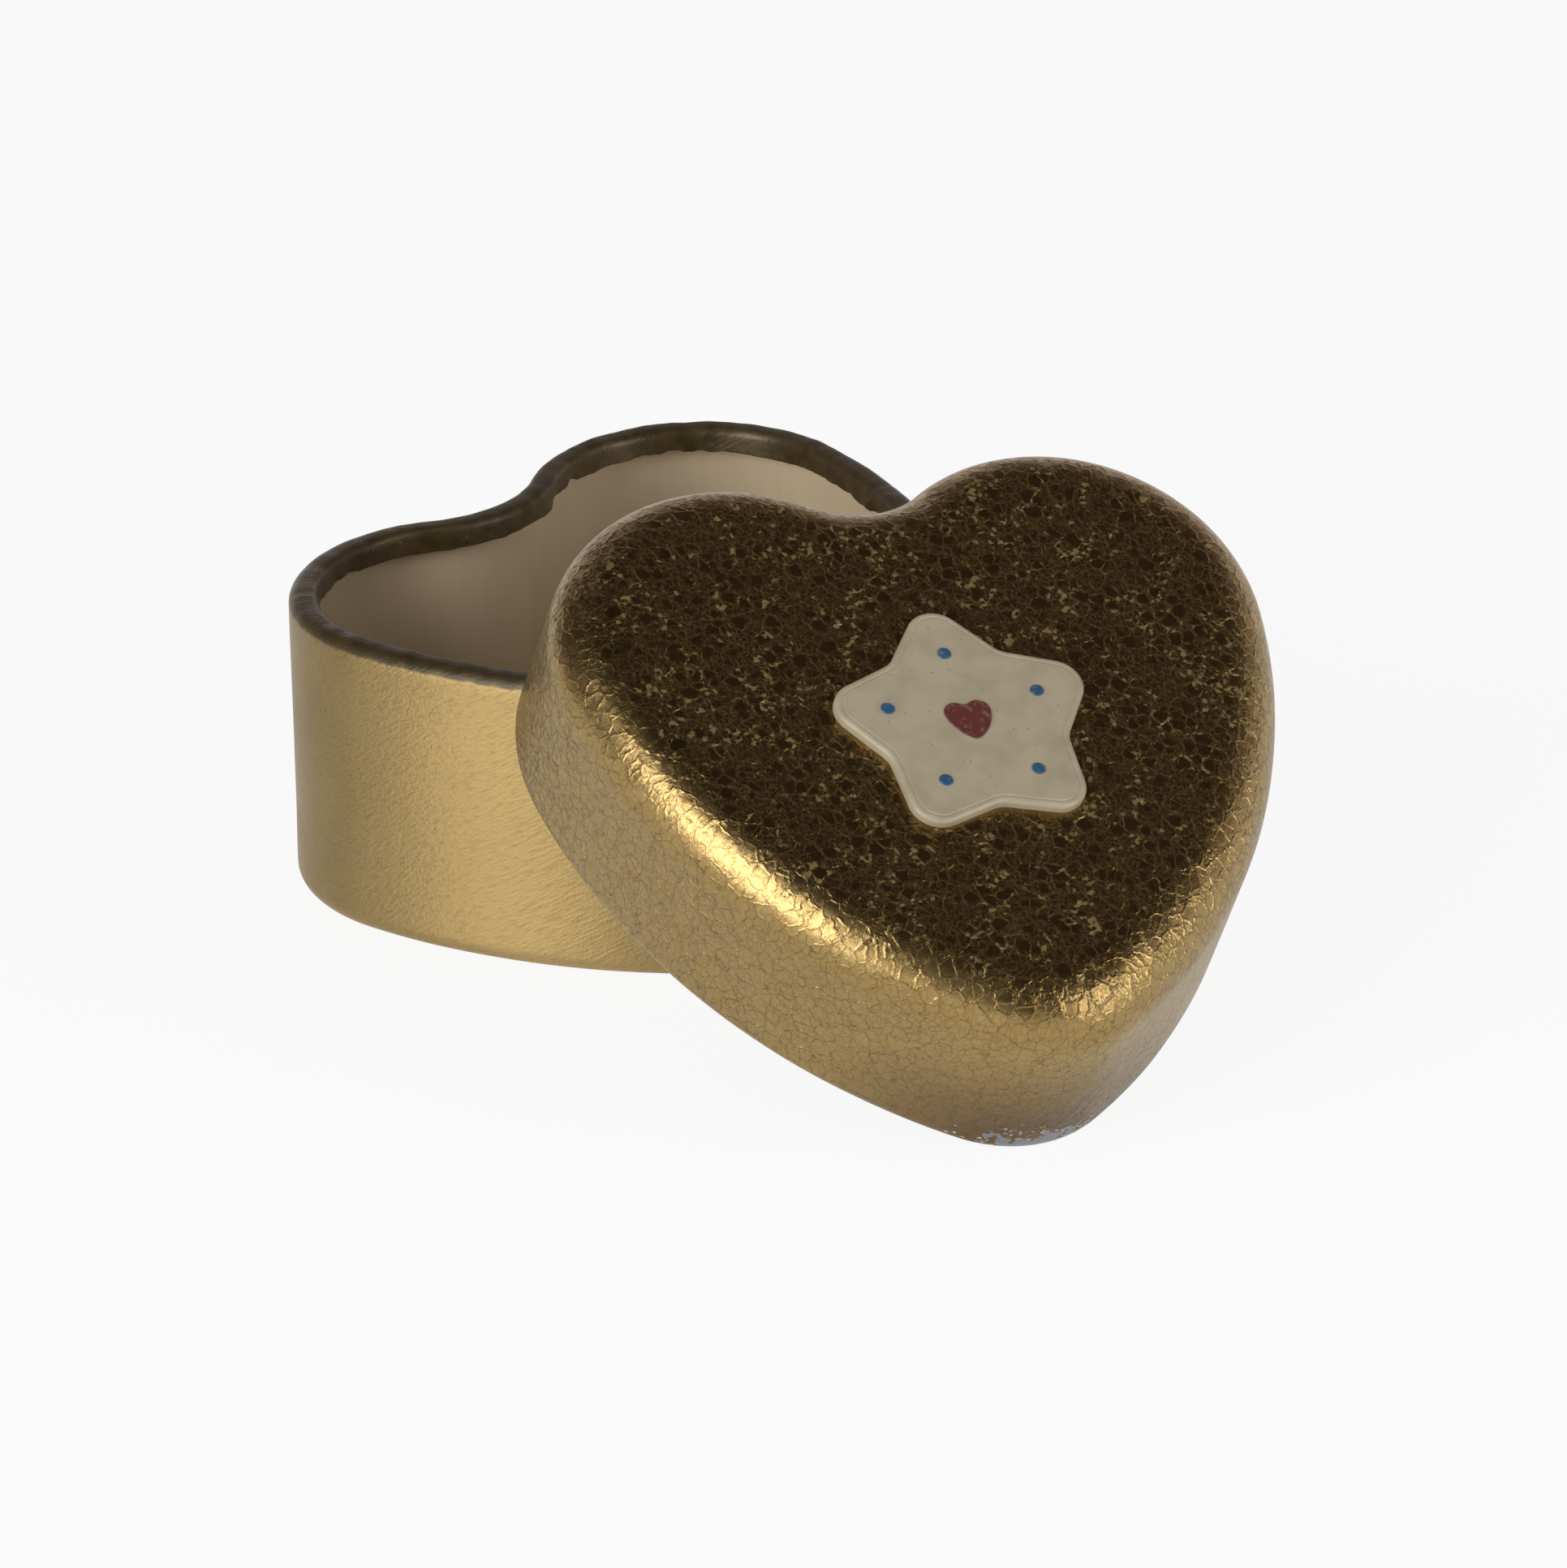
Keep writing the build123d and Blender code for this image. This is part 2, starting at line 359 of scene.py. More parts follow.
def swept_sheet_tree():
    """Sheet swept round an outline: the outline's points carry the sheet's section outwards."""
    tree = bpy.data.node_groups.get("sheet swept round an outline")
    if tree:
        return tree
    tree = new_tree("sheet swept round an outline", [
        ("Geometry", "NodeSocketGeometry"),
        ("Section", "NodeSocketObject"),
        ("Middle", "NodeSocketVector"),
        ("Hem wave", "NodeSocketFloat"),
        ("Hem wave length", "NodeSocketFloat"),
        ("Dent depth", "NodeSocketFloat"),
        ("Dent size", "NodeSocketFloat"),
        ("Rim dent depth", "NodeSocketFloat"),
        ("Seed", "NodeSocketFloat"),
        ("Material", "NodeSocketMaterial"),
    ])
    given = add(tree, "NodeGroupInput").outputs
    section = add(tree, "GeometryNodeObjectInfo", {"Object": given["Section"]})
    rail = add(tree, "GeometryNodeMeshToCurve", {"Mesh": given["Geometry"]})
    profile = add(tree, "GeometryNodeMeshToCurve", {"Mesh": section.outputs["Geometry"]})
    swept = add(
        tree, "GeometryNodeCurveToMesh", {"Curve": rail.outputs[0], "Profile Curve": profile.outputs[0]}
    )
    share = {
        name: add(tree, "GeometryNodeInputNamedAttribute", {"Name": name}, data_type="FLOAT").outputs[0]
        for name in ("reach", "out", "up", "hem", "rim")
    }
    spot = add(tree, "GeometryNodeInputNamedAttribute", {"Name": "spot"}, data_type="FLOAT_VECTOR").outputs[0]
    outward = add(
        tree, "GeometryNodeInputNamedAttribute", {"Name": "outward"}, data_type="FLOAT_VECTOR"
    ).outputs[0]
    # A point's place before wear
    height = add(tree, "ShaderNodeCombineXYZ", {"Z": share["up"]}).outputs[0]
    rough_place = add(tree, "ShaderNodeVectorMath", {0: spot, 1: height}, operation="ADD").outputs[0]

    def wander(place, size, detail, shift, jagged=0.5):
        """Noise from -1 to 1 whose swells are one size across. shift gives each use its own."""
        scale = add(tree, "ShaderNodeMath", {0: 1.0, 1: size}, operation="DIVIDE").outputs[0]
        seed = add(tree, "ShaderNodeMath", {0: given["Seed"], 1: shift}, operation="ADD").outputs[0]
        noise = add(
            tree, "ShaderNodeTexNoise",
            {"Vector": place, "W": seed, "Scale": scale, "Detail": detail, "Roughness": jagged},
            noise_dimensions="4D",
        )
        return add(
            tree, "ShaderNodeMapRange", {"Value": noise.outputs["Fac"], "From Min": 0.28, "From Max": 0.72,
                                         "To Min": -1.0, "To Max": 1.0},
        ).outputs[0]

    # The raw edge wanders up and down and in and out, more in some places than in others
    long_wave = add(
        tree, "ShaderNodeMath", {0: given["Hem wave length"], 1: 3.0}, operation="MULTIPLY"
    ).outputs[0]
    uneven = wander(spot, long_wave, 0.0, 9.0)
    uneven = add(tree, "ShaderNodeMath", {0: uneven, 1: 0.5, 2: 0.6}, operation="MULTIPLY_ADD").outputs[0]
    hem_share = add(
        tree, "ShaderNodeMath", {0: given["Hem wave"], 1: share["hem"]}, operation="MULTIPLY"
    ).outputs[0]
    hem_share = add(tree, "ShaderNodeMath", {0: hem_share, 1: uneven}, operation="MULTIPLY").outputs[0]
    hem_up = wander(spot, given["Hem wave length"], 3.0, 0.0, 0.6)
    hem_up = add(tree, "ShaderNodeMath", {0: hem_up, 1: 0.6}, operation="ADD").outputs[0]
    up = add(
        tree, "ShaderNodeMath", {0: hem_up, 1: hem_share, 2: share["up"]}, operation="MULTIPLY_ADD"
    ).outputs[0]
    hem_out = wander(spot, given["Hem wave length"], 1.0, 7.0)
    hem_out = add(tree, "ShaderNodeMath", {0: hem_out, 1: hem_share}, operation="MULTIPLY").outputs[0]
    out = add(
        tree, "ShaderNodeMath", {0: hem_out, 1: 0.6, 2: share["out"]}, operation="MULTIPLY_ADD"
    ).outputs[0]
    # Hollows in the walls and knocks in the rim only go inwards, so the piece stays inside its solid's box
    dent = wander(rough_place, given["Dent size"], 0.0, 3.0)
    dent = add(tree, "ShaderNodeMath", {0: dent, 1: -0.5, 2: -0.5}, operation="MULTIPLY_ADD").outputs[0]
    out = add(
        tree, "ShaderNodeMath", {0: dent, 1: given["Dent depth"], 2: out}, operation="MULTIPLY_ADD"
    ).outputs[0]
    knock_size = add(tree, "ShaderNodeMath", {0: given["Dent size"], 1: 0.3}, operation="MULTIPLY").outputs[0]
    knock = wander(spot, knock_size, 1.0, 5.0)
    knock = add(tree, "ShaderNodeMath", {0: knock, 1: -0.5, 2: -0.5}, operation="MULTIPLY_ADD").outputs[0]
    knock = add(
        tree, "ShaderNodeMath", {0: knock, 1: given["Rim dent depth"]}, operation="MULTIPLY"
    ).outputs[0]
    up = add(tree, "ShaderNodeMath", {0: knock, 1: share["rim"], 2: up}, operation="MULTIPLY_ADD").outputs[0]
    # From its place on the outline a point goes outwards, towards the middle by its reach, and up
    aside = add(tree, "ShaderNodeVectorMath", {0: outward, "Scale": out}, operation="SCALE").outputs[0]
    edge = add(tree, "ShaderNodeVectorMath", {0: spot, 1: aside}, operation="ADD").outputs[0]
    flat = add(
        tree, "ShaderNodeMix", {"Factor": share["reach"], 4: given["Middle"], 5: edge}, data_type="VECTOR"
    ).outputs[1]
    lift = add(tree, "ShaderNodeCombineXYZ", {"Z": up}).outputs[0]
    place = add(tree, "ShaderNodeVectorMath", {0: flat, 1: lift}, operation="ADD").outputs[0]
    shaped = add(
        tree, "GeometryNodeSetPosition", {"Geometry": swept.outputs[0], "Position": place}
    ).outputs[0]
    welded = add(
        tree, "GeometryNodeMergeByDistance", {"Geometry": shaped, "Distance": 0.0001 * MM}
    ).outputs[0]
    kept = add(
        tree, "GeometryNodeStoreNamedAttribute",
        {"Geometry": welded, "Name": "lay", "Value": add(tree, "GeometryNodeInputPosition").outputs[0]},
        data_type="FLOAT_VECTOR", domain="POINT",
    ).outputs[0]
    smooth = add(tree, "GeometryNodeSetShadeSmooth", {"Geometry": kept, "Shade Smooth": True}).outputs[0]
    real = add(tree, "GeometryNodeRealizeInstances", {"Geometry": smooth}).outputs[0]
    finished = add(
        tree, "GeometryNodeSetMaterial", {"Geometry": real, "Material": given["Material"]}
    ).outputs[0]
    add(tree, "NodeGroupOutput", {"Geometry": finished})
    return tree


def dot_ring_tree():
    """Copies of one dot on a ring, the first one towards +Y."""
    tree = bpy.data.node_groups.get("dots round a ring")
    if tree:
        return tree
    tree = new_tree("dots round a ring", [
        ("Geometry", "NodeSocketGeometry"),
        ("Count", "NodeSocketInt"),
        ("Reach", "NodeSocketFloat"),
        ("Middle", "NodeSocketVector"),
        ("Material", "NodeSocketMaterial"),
    ])
    given = add(tree, "NodeGroupInput").outputs
    ring = add(
        tree, "GeometryNodeMeshCircle", {"Vertices": given["Count"], "Radius": given["Reach"]}
    ).outputs[0]
    turned = add(
        tree, "GeometryNodeTransform",
        {"Geometry": ring, "Translation": given["Middle"], "Rotation": Euler((0, 0, pi / 2))},
    ).outputs[0]
    dots = add(
        tree, "GeometryNodeInstanceOnPoints", {"Points": turned, "Instance": given["Geometry"]}
    ).outputs[0]
    real = add(tree, "GeometryNodeRealizeInstances", {"Geometry": dots}).outputs[0]
    kept = add(
        tree, "GeometryNodeStoreNamedAttribute",
        {"Geometry": real, "Name": "lay", "Value": add(tree, "GeometryNodeInputPosition").outputs[0]},
        data_type="FLOAT_VECTOR", domain="POINT",
    ).outputs[0]
    finished = add(
        tree, "GeometryNodeSetMaterial", {"Geometry": kept, "Material": given["Material"]}
    ).outputs[0]
    add(tree, "NodeGroupOutput", {"Geometry": finished})
    return tree


def line_object(name, points, closed, values):
    """A mesh of one line, whose points carry named values."""
    mesh = bpy.data.meshes.new(name)
    edges = [(number, number + 1) for number in range(len(points) - 1)]
    mesh.from_pydata(points, edges + ([(len(points) - 1, 0)] if closed else []), [])
    for label, rows in values.items():
        if isinstance(rows[0], Vector):
            attribute = mesh.attributes.new(label, "FLOAT_VECTOR", "POINT")
            attribute.data.foreach_set("vector", [share for row in rows for share in row])
        else:
            attribute = mesh.attributes.new(label, "FLOAT", "POINT")
            attribute.data.foreach_set("value", rows)
    line = bpy.data.objects.new(name, mesh)
    bpy.context.scene.collection.objects.link(line)
    return line


def apply_tree(carrier, tree, inputs, name):
    """The carrier's shape after the tree, as a plain mesh object."""
    modifier = carrier.modifiers.new(tree.name, "NODES")
    modifier.node_group = tree
    keys = {item.name: item.identifier for item in tree.interface.items_tree if item.in_out == "INPUT"}
    for label, value in inputs.items():
        modifier[keys[label]] = value
    view_layer = bpy.context.evaluated_depsgraph_get()
    mesh = bpy.data.meshes.new_from_object(
        carrier.evaluated_get(view_layer), preserve_all_data_layers=True, depsgraph=view_layer
    )
    mesh.name = name
    for label in ("reach", "out", "up", "spot", "outward"):
        if label in mesh.attributes:
            mesh.attributes.remove(mesh.attributes[label])
    piece = bpy.data.objects.new(name, mesh)
    bpy.context.scene.collection.objects.link(piece)
    carrier.modifiers.remove(modifier)
    return piece


def sweep(name, outline, section, middle, material, **wear):
    """Sweeps a closed section round an outline, as a plain mesh object."""
    points, outward = outline
    rail = line_object(name + "_outline", points, True, {"spot": points, "outward": outward})
    columns = list(zip(*section))
    labels = ("reach", "out", "up", "hem", "rim")
    values = {label: [float(share) for share in column] for label, column in zip(labels, columns)}
    profile = line_object(name + "_section", [(out, up, 0) for _, out, up, _, _ in section], False, values)
    inputs = {"Section": profile, "Middle": Vector(middle), "Seed": SEED, "Material": material}
    # No wear unless it is asked for. Its two widths are divided by, so they are never zero
    inputs.update({"Hem wave": 0.0, "Hem wave length": MM, "Rim dent depth": 0.0})
    inputs.update({"Dent depth": 0.0, "Dent size": MM})
    inputs.update({label.replace("_", " ").capitalize(): value for label, value in wear.items()})
    piece = apply_tree(rail, swept_sheet_tree(), inputs, name)
    for helper in (rail, profile):
        bpy.data.objects.remove(helper)
    return piece


def pressed_sheet(context, name, section, material, **wear):
    """A sheet swept round the heart, with the shallow hollows that hands press into it."""
    sizes = context.scene.tin_sizes
    return sweep(
        name, heart_outline(sizes), section, (0, -sizes.plates_middle, 0), material,
        dent_depth=sizes.dent_depth, dent_size=sizes.dent_size, **wear,
    )


def finish_piece(piece, body, slot, *nodes):
    """Puts the finished piece on its body, in place of its solids. Its slot is not used."""
    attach(piece, body)
    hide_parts(*nodes)


def lid_place(sizes, plaque):
    """Where the lid lies, read from its solids: the dots give the star's plane, middle and way."""
    centres = []
    for number in range(1, plaque.point_count + 1):
        low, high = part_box(f"plaque_dot_{number}")
        centres.append((low + high) / 2)
    middle = sum(centres, Vector()) / len(centres)
    forward = (centres[0] - middle).normalized()
    normal = (centres[0] - middle).cross(centres[1] - middle).normalized()
    turn = Matrix((forward.cross(normal), forward, normal)).transposed()
    height = sizes.lid_height + sizes.foil + plaque.thickness + plaque.drop_thickness / 2
    start = middle - turn @ Vector((0, -plaque.setback, height))
    return Matrix.Translation(start) @ turn.to_4x4()


# ---------------------------------------------------------------- materials


def new_material(name):
    """An empty material and its tree."""
    material = bpy.data.materials.new(name)
    material.use_nodes = True
    material.node_tree.nodes.clear()
    return material, material.node_tree


def plain_colour(colours, name):
    """A named colour with full alpha, as a colour socket takes it."""
    return (*getattr(colours, name), 1.0)


def gold_lacquered_tinplate(colours):
    """Tinplate under a clear gold lacquer, brushed round the wall: satin, with a pebbly grain.

    The brushing lies level, so a lamp shows as a broad upright band.
    """
    material, tree = new_material("gold_lacquered_tinplate")
    place = add(tree, "ShaderNodeTexCoord").outputs["Object"]
    # Pebbles 0.3 mm across, and short rolling marks that lean over the wall
    grain = add(
        tree, "ShaderNodeTexNoise", {"Vector": place, "Scale": 1 / (0.3 * MM), "Detail": 2.0}
    ).outputs["Fac"]
    lean = Vector((0.48, -0.73, 0.5)).to_track_quat("Z", "Y").to_euler()
    leaning = add(
        tree, "ShaderNodeMapping",
        {"Vector": place, "Rotation": lean, "Scale": (1.0, 1.0, 6.0)}, vector_type="TEXTURE",
    ).outputs[0]
    streak = add(
        tree, "ShaderNodeTexNoise", {"Vector": leaning, "Scale": 1 / (0.28 * MM), "Detail": 2.0}
    ).outputs["Fac"]
    # Specks of dust under the lacquer, 0.15 mm across, one in a few square millimetres
    speck = add(tree, "ShaderNodeTexVoronoi", {"Vector": place, "Scale": 1 / (1.2 * MM)}).outputs["Distance"]
    speck = add(
        tree, "ShaderNodeMapRange",
        {"Value": speck, "From Min": 0.06, "From Max": 0.1, "To Min": 0.8, "To Max": 0.0},
    ).outputs[0]
    dull = add(
        tree, "ShaderNodeMapRange", {"Value": streak, "From Min": 0.5, "From Max": 0.75, "To Max": 0.45}
    ).outputs[0]
    dull = add(tree, "ShaderNodeMath", {0: dull, 1: speck}, operation="MAXIMUM").outputs[0]
    # The lacquer scorched dark and dull where the rim was rolled, with an uneven edge on the wall's side.
    # Inside the curl, where the rim turns down under its roll, the same dark colour is painted shade
    rim = add(tree, "ShaderNodeAttribute", attribute_name="rim").outputs["Fac"]
    cloud = add(
        tree, "ShaderNodeTexNoise", {"Vector": place, "Scale": 1 / (1.6 * MM), "Detail": 3.0}
    ).outputs["Fac"]
    burnt_and_shade = add(tree, "ShaderNodeMath", {0: cloud, 1: 0.3, 2: rim}, operation="MULTIPLY_ADD").outputs[0]
    burnt_and_shade = add(
        tree, "ShaderNodeMapRange", {"Value": burnt_and_shade, "From Min": 0.26, "From Max": 0.5}
    ).outputs[0]
    through = add(
        tree, "ShaderNodeMapRange",
        {"Value": cloud, "From Min": 0.4, "From Max": 0.62, "To Min": 0.88, "To Max": 1.0},
    ).outputs[0]
    burnt_and_shade = add(tree, "ShaderNodeMath", {0: burnt_and_shade, 1: through}, operation="MULTIPLY").outputs[0]
    metal = add(tree, "ShaderNodeMath", {0: burnt_and_shade, 1: -0.65, 2: 1.0}, operation="MULTIPLY_ADD").outputs[0]
    # Bare sheet shows in spots 0.3 mm across where the rim was rubbed
    rubbed = add(
        tree, "ShaderNodeTexNoise", {"Vector": place, "Scale": 1 / (0.7 * MM), "Detail": 2.0}
    ).outputs["Fac"]
    rubbed = add(
        tree, "ShaderNodeMapRange", {"Value": rubbed, "From Min": 0.7, "From Max": 0.76, "To Max": 0.5}
    ).outputs[0]
    rubbed = add(tree, "ShaderNodeMath", {0: rubbed, 1: rim}, operation="MULTIPLY").outputs[0]
    base = plain_colour(colours, "gold_lacquer")
    for share, name in ((dull, "gold_lacquer_worn"), (burnt_and_shade, "tarnish_and_shade"), (rubbed, "tinplate")):
        base = add(
            tree, "ShaderNodeMix",
            {"Factor": share, 6: base, 7: plain_colour(colours, name)}, data_type="RGBA",
        ).outputs[2]
    # Satin in swells 7 mm across
    swell = add(
        tree, "ShaderNodeTexNoise", {"Vector": place, "Scale": 1 / (7 * MM), "Detail": 2.0}
    ).outputs["Fac"]
    rough = add(
        tree, "ShaderNodeMapRange",
        {"Value": swell, "From Min": 0.3, "From Max": 0.7, "To Min": 0.44, "To Max": 0.5},
    ).outputs[0]
    rough = add(tree, "ShaderNodeMath", {0: rim, 1: -0.05, 2: rough}, operation="MULTIPLY_ADD").outputs[0]
    height = add(tree, "ShaderNodeMath", {0: grain, 1: 0.5, 2: streak}, operation="MULTIPLY_ADD").outputs[0]
    bump = add(tree, "ShaderNodeBump", {"Height": height, "Distance": 0.045 * MM, "Strength": 1.0}).outputs[0]
    shader = add(
        tree, "ShaderNodeBsdfPrincipled",
        {"Base Color": base, "Metallic": metal, "Roughness": rough, "Normal": bump, "Coat Weight": 0.25,
         "Coat Roughness": 0.35, "Anisotropic": 0.8, "Anisotropic Rotation": 0.25},
    ).outputs[0]
    add(tree, "ShaderNodeOutputMaterial", {"Surface": shader})
    return material


def inside_lacquer(colours):
    """Cream lacquer baked on the inside of the sheet: low sheen, with the draw lines of the press."""
    material, tree = new_material("inside_lacquer")
    place = add(tree, "ShaderNodeTexCoord").outputs["Object"]
    # Draw lines run up the wall: 0.5 mm wide and over 10 mm long
    drawn = add(tree, "ShaderNodeMapping", {"Vector": place, "Scale": (1.0, 1.0, 0.05)}).outputs[0]
    line = add(
        tree, "ShaderNodeTexNoise", {"Vector": drawn, "Scale": 1 / (0.9 * MM), "Detail": 3.0}
    ).outputs["Fac"]
    cloud = add(
        tree, "ShaderNodeTexNoise", {"Vector": place, "Scale": 1 / (6 * MM), "Detail": 2.0}
    ).outputs["Fac"]
    both = add(tree, "ShaderNodeMath", {0: line, 1: cloud}, operation="MULTIPLY").outputs[0]
    share = add(
        tree, "ShaderNodeMapRange", {"Value": both, "From Min": 0.18, "From Max": 0.42, "To Max": 0.3}
    ).outputs[0]
    coat, streak = plain_colour(colours, "inside_lacquer"), plain_colour(colours, "inside_streak")
    base = add(tree, "ShaderNodeMix", {"Factor": share, 6: coat, 7: streak}, data_type="RGBA").outputs[2]
    bump = add(tree, "ShaderNodeBump", {"Height": line, "Distance": 0.03 * MM, "Strength": 0.2}).outputs[0]
    shader = add(
        tree, "ShaderNodeBsdfPrincipled",
        {"Base Color": base, "Roughness": 0.34, "Normal": bump, "IOR": 1.5},
    ).outputs[0]
    add(tree, "ShaderNodeOutputMaterial", {"Surface": shader})
    return material


def bare_tinplate(colours):
    """Bare tinplate: blue-grey, brushed by the rolls."""
    material, tree = new_material("tinplate")
    place = add(tree, "ShaderNodeAttribute", attribute_name="lay").outputs["Vector"]
    rolled = add(tree, "ShaderNodeMapping", {"Vector": place, "Scale": (1.0, 0.08, 1.0)}).outputs[0]
    line = add(
        tree, "ShaderNodeTexNoise", {"Vector": rolled, "Scale": 1 / (0.3 * MM), "Detail": 3.0}
    ).outputs["Fac"]
    rough = add(
        tree, "ShaderNodeMapRange",
        {"Value": line, "From Min": 0.3, "From Max": 0.7, "To Min": 0.3, "To Max": 0.45},
    ).outputs[0]
    bump = add(tree, "ShaderNodeBump", {"Height": line, "Distance": 0.01 * MM, "Strength": 0.5}).outputs[0]
    shader = add(
        tree, "ShaderNodeBsdfPrincipled",
        {"Base Color": plain_colour(colours, "tinplate"), "Metallic": 1.0, "Roughness": rough,
         "Normal": bump},
    ).outputs[0]
    add(tree, "ShaderNodeOutputMaterial", {"Surface": shader})
    return material


def crackled_gold_foil(colours):
    """Gold foil that crazed as it was pressed on: smooth cells parted by thin creases, crumpled flecks."""
    material, tree = new_material("crackled_gold_foil")
    place = add(tree, "ShaderNodeAttribute", attribute_name="lay").outputs["Vector"]
    # The cells' borders wander by a quarter of a millimetre
    bend = add(
        tree, "ShaderNodeTexNoise", {"Vector": place, "Scale": 1 / (0.8 * MM), "Detail": 2.0}
    ).outputs["Color"]
    bend = add(tree, "ShaderNodeVectorMath", {0: bend, 1: (0.5, 0.5, 0.5)}, operation="SUBTRACT").outputs[0]
    bend = add(tree, "ShaderNodeVectorMath", {0: bend, "Scale": 0.7 * MM}, operation="SCALE").outputs[0]
    crazed = add(tree, "ShaderNodeVectorMath", {0: place, 1: bend}, operation="ADD").outputs[0]
    # Loose on the top and a little way down the tip, pulled tight round the shoulder, finely crazed down the
    # skirt, and more crumpled on the lid's right side and round its lobes. from_tip starts where the foil has
    # chipped, at the tip's foot
    from_tip = add(
        tree, "ShaderNodeVectorMath", {0: place, 1: (-0.5 * MM, -43.0 * MM, 0.2 * MM)}, operation="SUBTRACT"
    ).outputs[0]
    over = add(
        tree, "ShaderNodeVectorMath", {0: from_tip, 1: (1.0, 1.0, 0.0)}, operation="MULTIPLY"
    ).outputs[0]
    over = add(tree, "ShaderNodeVectorMath", {0: over}, operation="LENGTH").outputs["Value"]
    sag = add(
        tree, "ShaderNodeMapRange",
        {"Value": over, "From Min": 3.0 * MM, "From Max": 9.0 * MM, "To Min": 1.4 * MM, "To Max": 0.0},
        interpolation_type="SMOOTHSTEP",
    ).outputs[0]
    across, along, up = add(tree, "ShaderNodeSeparateXYZ", {"Vector": place}).outputs[:3]
    sunk = add(tree, "ShaderNodeMath", {0: up, 1: sag}, operation="ADD").outputs[0]
    # top is also the share of painted shade on the foil's top, which sags a little way down the tip
    top = add(
        tree, "ShaderNodeMapRange", {"Value": sunk, "From Min": 17.5 * MM, "From Max": 18.58 * MM},
        interpolation_type="SMOOTHSTEP",
    ).outputs[0]
    skirt = add(
        tree, "ShaderNodeMapRange",
        {"Value": up, "From Min": 12.0 * MM, "From Max": 15.5 * MM, "To Min": 1.0, "To Max": 0.0},
        interpolation_type="SMOOTHSTEP",
    ).outputs[0]
    loose = add(tree, "ShaderNodeMath", {0: top, 1: 0.6, 2: 0.4}, operation="MULTIPLY_ADD").outputs[0]
    loose = add(tree, "ShaderNodeMath", {0: skirt, 1: 0.8, 2: loose}, operation="MULTIPLY_ADD").outputs[0]
    flank = add(
        tree, "ShaderNodeMapRange", {"Value": across, "From Min": 4.0 * MM, "From Max": 14.0 * MM},
        interpolation_type="SMOOTHSTEP",
    ).outputs[0]
    lobes = add(
        tree, "ShaderNodeMapRange", {"Value": along, "From Min": 0.0, "From Max": 10.0 * MM},
        interpolation_type="SMOOTHSTEP",
    ).outputs[0]
    flat = add(tree, "ShaderNodeMath", {0: 1.0, 1: top}, operation="SUBTRACT").outputs[0]
    worn = add(tree, "ShaderNodeMath", {0: flank, 1: lobes}, operation="MAXIMUM").outputs[0]
    loose = add(tree, "ShaderNodeMath", {0: worn, 1: flat, 2: loose}, operation="MULTIPLY_ADD").outputs[0]
    sway = add(
        tree, "ShaderNodeTexNoise", {"Vector": place, "Scale": 1 / (2.2 * MM), "Detail": 1.0}
    ).outputs["Fac"]
    sway = add(
        tree, "ShaderNodeMapRange",
        {"Value": sway, "From Min": 0.35, "From Max": 0.65, "To Min": 0.75, "To Max": 1.2},
    ).outputs[0]
    loose = add(tree, "ShaderNodeMath", {0: loose, 1: sway}, operation="MULTIPLY").outputs[0]
    # The sheet's own grain, 0.2 mm across
    grain = add(
        tree, "ShaderNodeTexNoise", {"Vector": place, "Scale": 1 / (0.2 * MM), "Detail": 1.0}
    ).outputs["Fac"]
    height = add(tree, "ShaderNodeMath", {0: grain, 1: 0.006}, operation="MULTIPLY").outputs[0]
    shade = add(
        tree, "ShaderNodeMapRange", {"Value": grain, "From Min": 0.35, "From Max": 0.65, "To Max": 0.06}
    ).outputs[0]
    fold = 0.0
    # Each size of cell in millimetres: its width, its creases' half width and depth, then its facets' slope
    # and how its borders show, dark where the foil is tight, and dull and pale where it is loose. Real creases
    # are finer than these, which are drawn as coarse as they need to show
    for width, half, depth, slope, dark, pale in (
        (1.35, 0.2, 0.036, 0.06, 0.45, 0.0),
        (0.7, 0.08, 0.009, 0.11, 0.3, 0.1),
        (0.36, 0.05, 0.004, 0.15, 0.0, 0.04),
    ):
        border = add(
            tree, "ShaderNodeTexVoronoi",
            {"Vector": crazed, "Scale": 1 / (width * MM)}, feature="DISTANCE_TO_EDGE",
        ).outputs["Distance"]
        crease = add(
            tree, "ShaderNodeMapRange",
            {"Value": border, "From Min": 0.0, "From Max": half / width, "To Min": -depth, "To Max": 0.0},
            interpolation_type="SMOOTHSTEP",
        ).outputs[0]
        crack = add(
            tree, "ShaderNodeMapRange",
            {"Value": border, "From Min": 0.0, "From Max": 0.06 / width, "To Min": dark, "To Max": 0.0},
        ).outputs[0]
        cell = add(tree, "ShaderNodeTexVoronoi", {"Vector": crazed, "Scale": 1 / (width * MM)}).outputs
        chance = add(tree, "ShaderNodeSeparateColor", {"Color": cell["Color"]}).outputs[0]
        tint = add(
            tree, "ShaderNodeMath", {0: chance, 1: 0.06, 2: crack}, operation="MULTIPLY_ADD"
        ).outputs[0]
        shade = add(tree, "ShaderNodeMath", {0: shade, 1: tint}, operation="ADD").outputs[0]
        arm = add(
            tree, "ShaderNodeVectorMath", {0: crazed, 1: cell["Position"]}, operation="SUBTRACT"
        ).outputs[0]
        arm = add(tree, "ShaderNodeVectorMath", {0: arm, "Scale": slope / MM}, operation="SCALE").outputs[0]
        way = add(
            tree, "ShaderNodeVectorMath", {0: cell["Color"], 1: (0.5, 0.5, 0.5)}, operation="SUBTRACT"
        ).outputs[0]
        facet = add(tree, "ShaderNodeVectorMath", {0: arm, 1: way}, operation="DOT_PRODUCT").outputs["Value"]
        share = loose
        if width > 1:
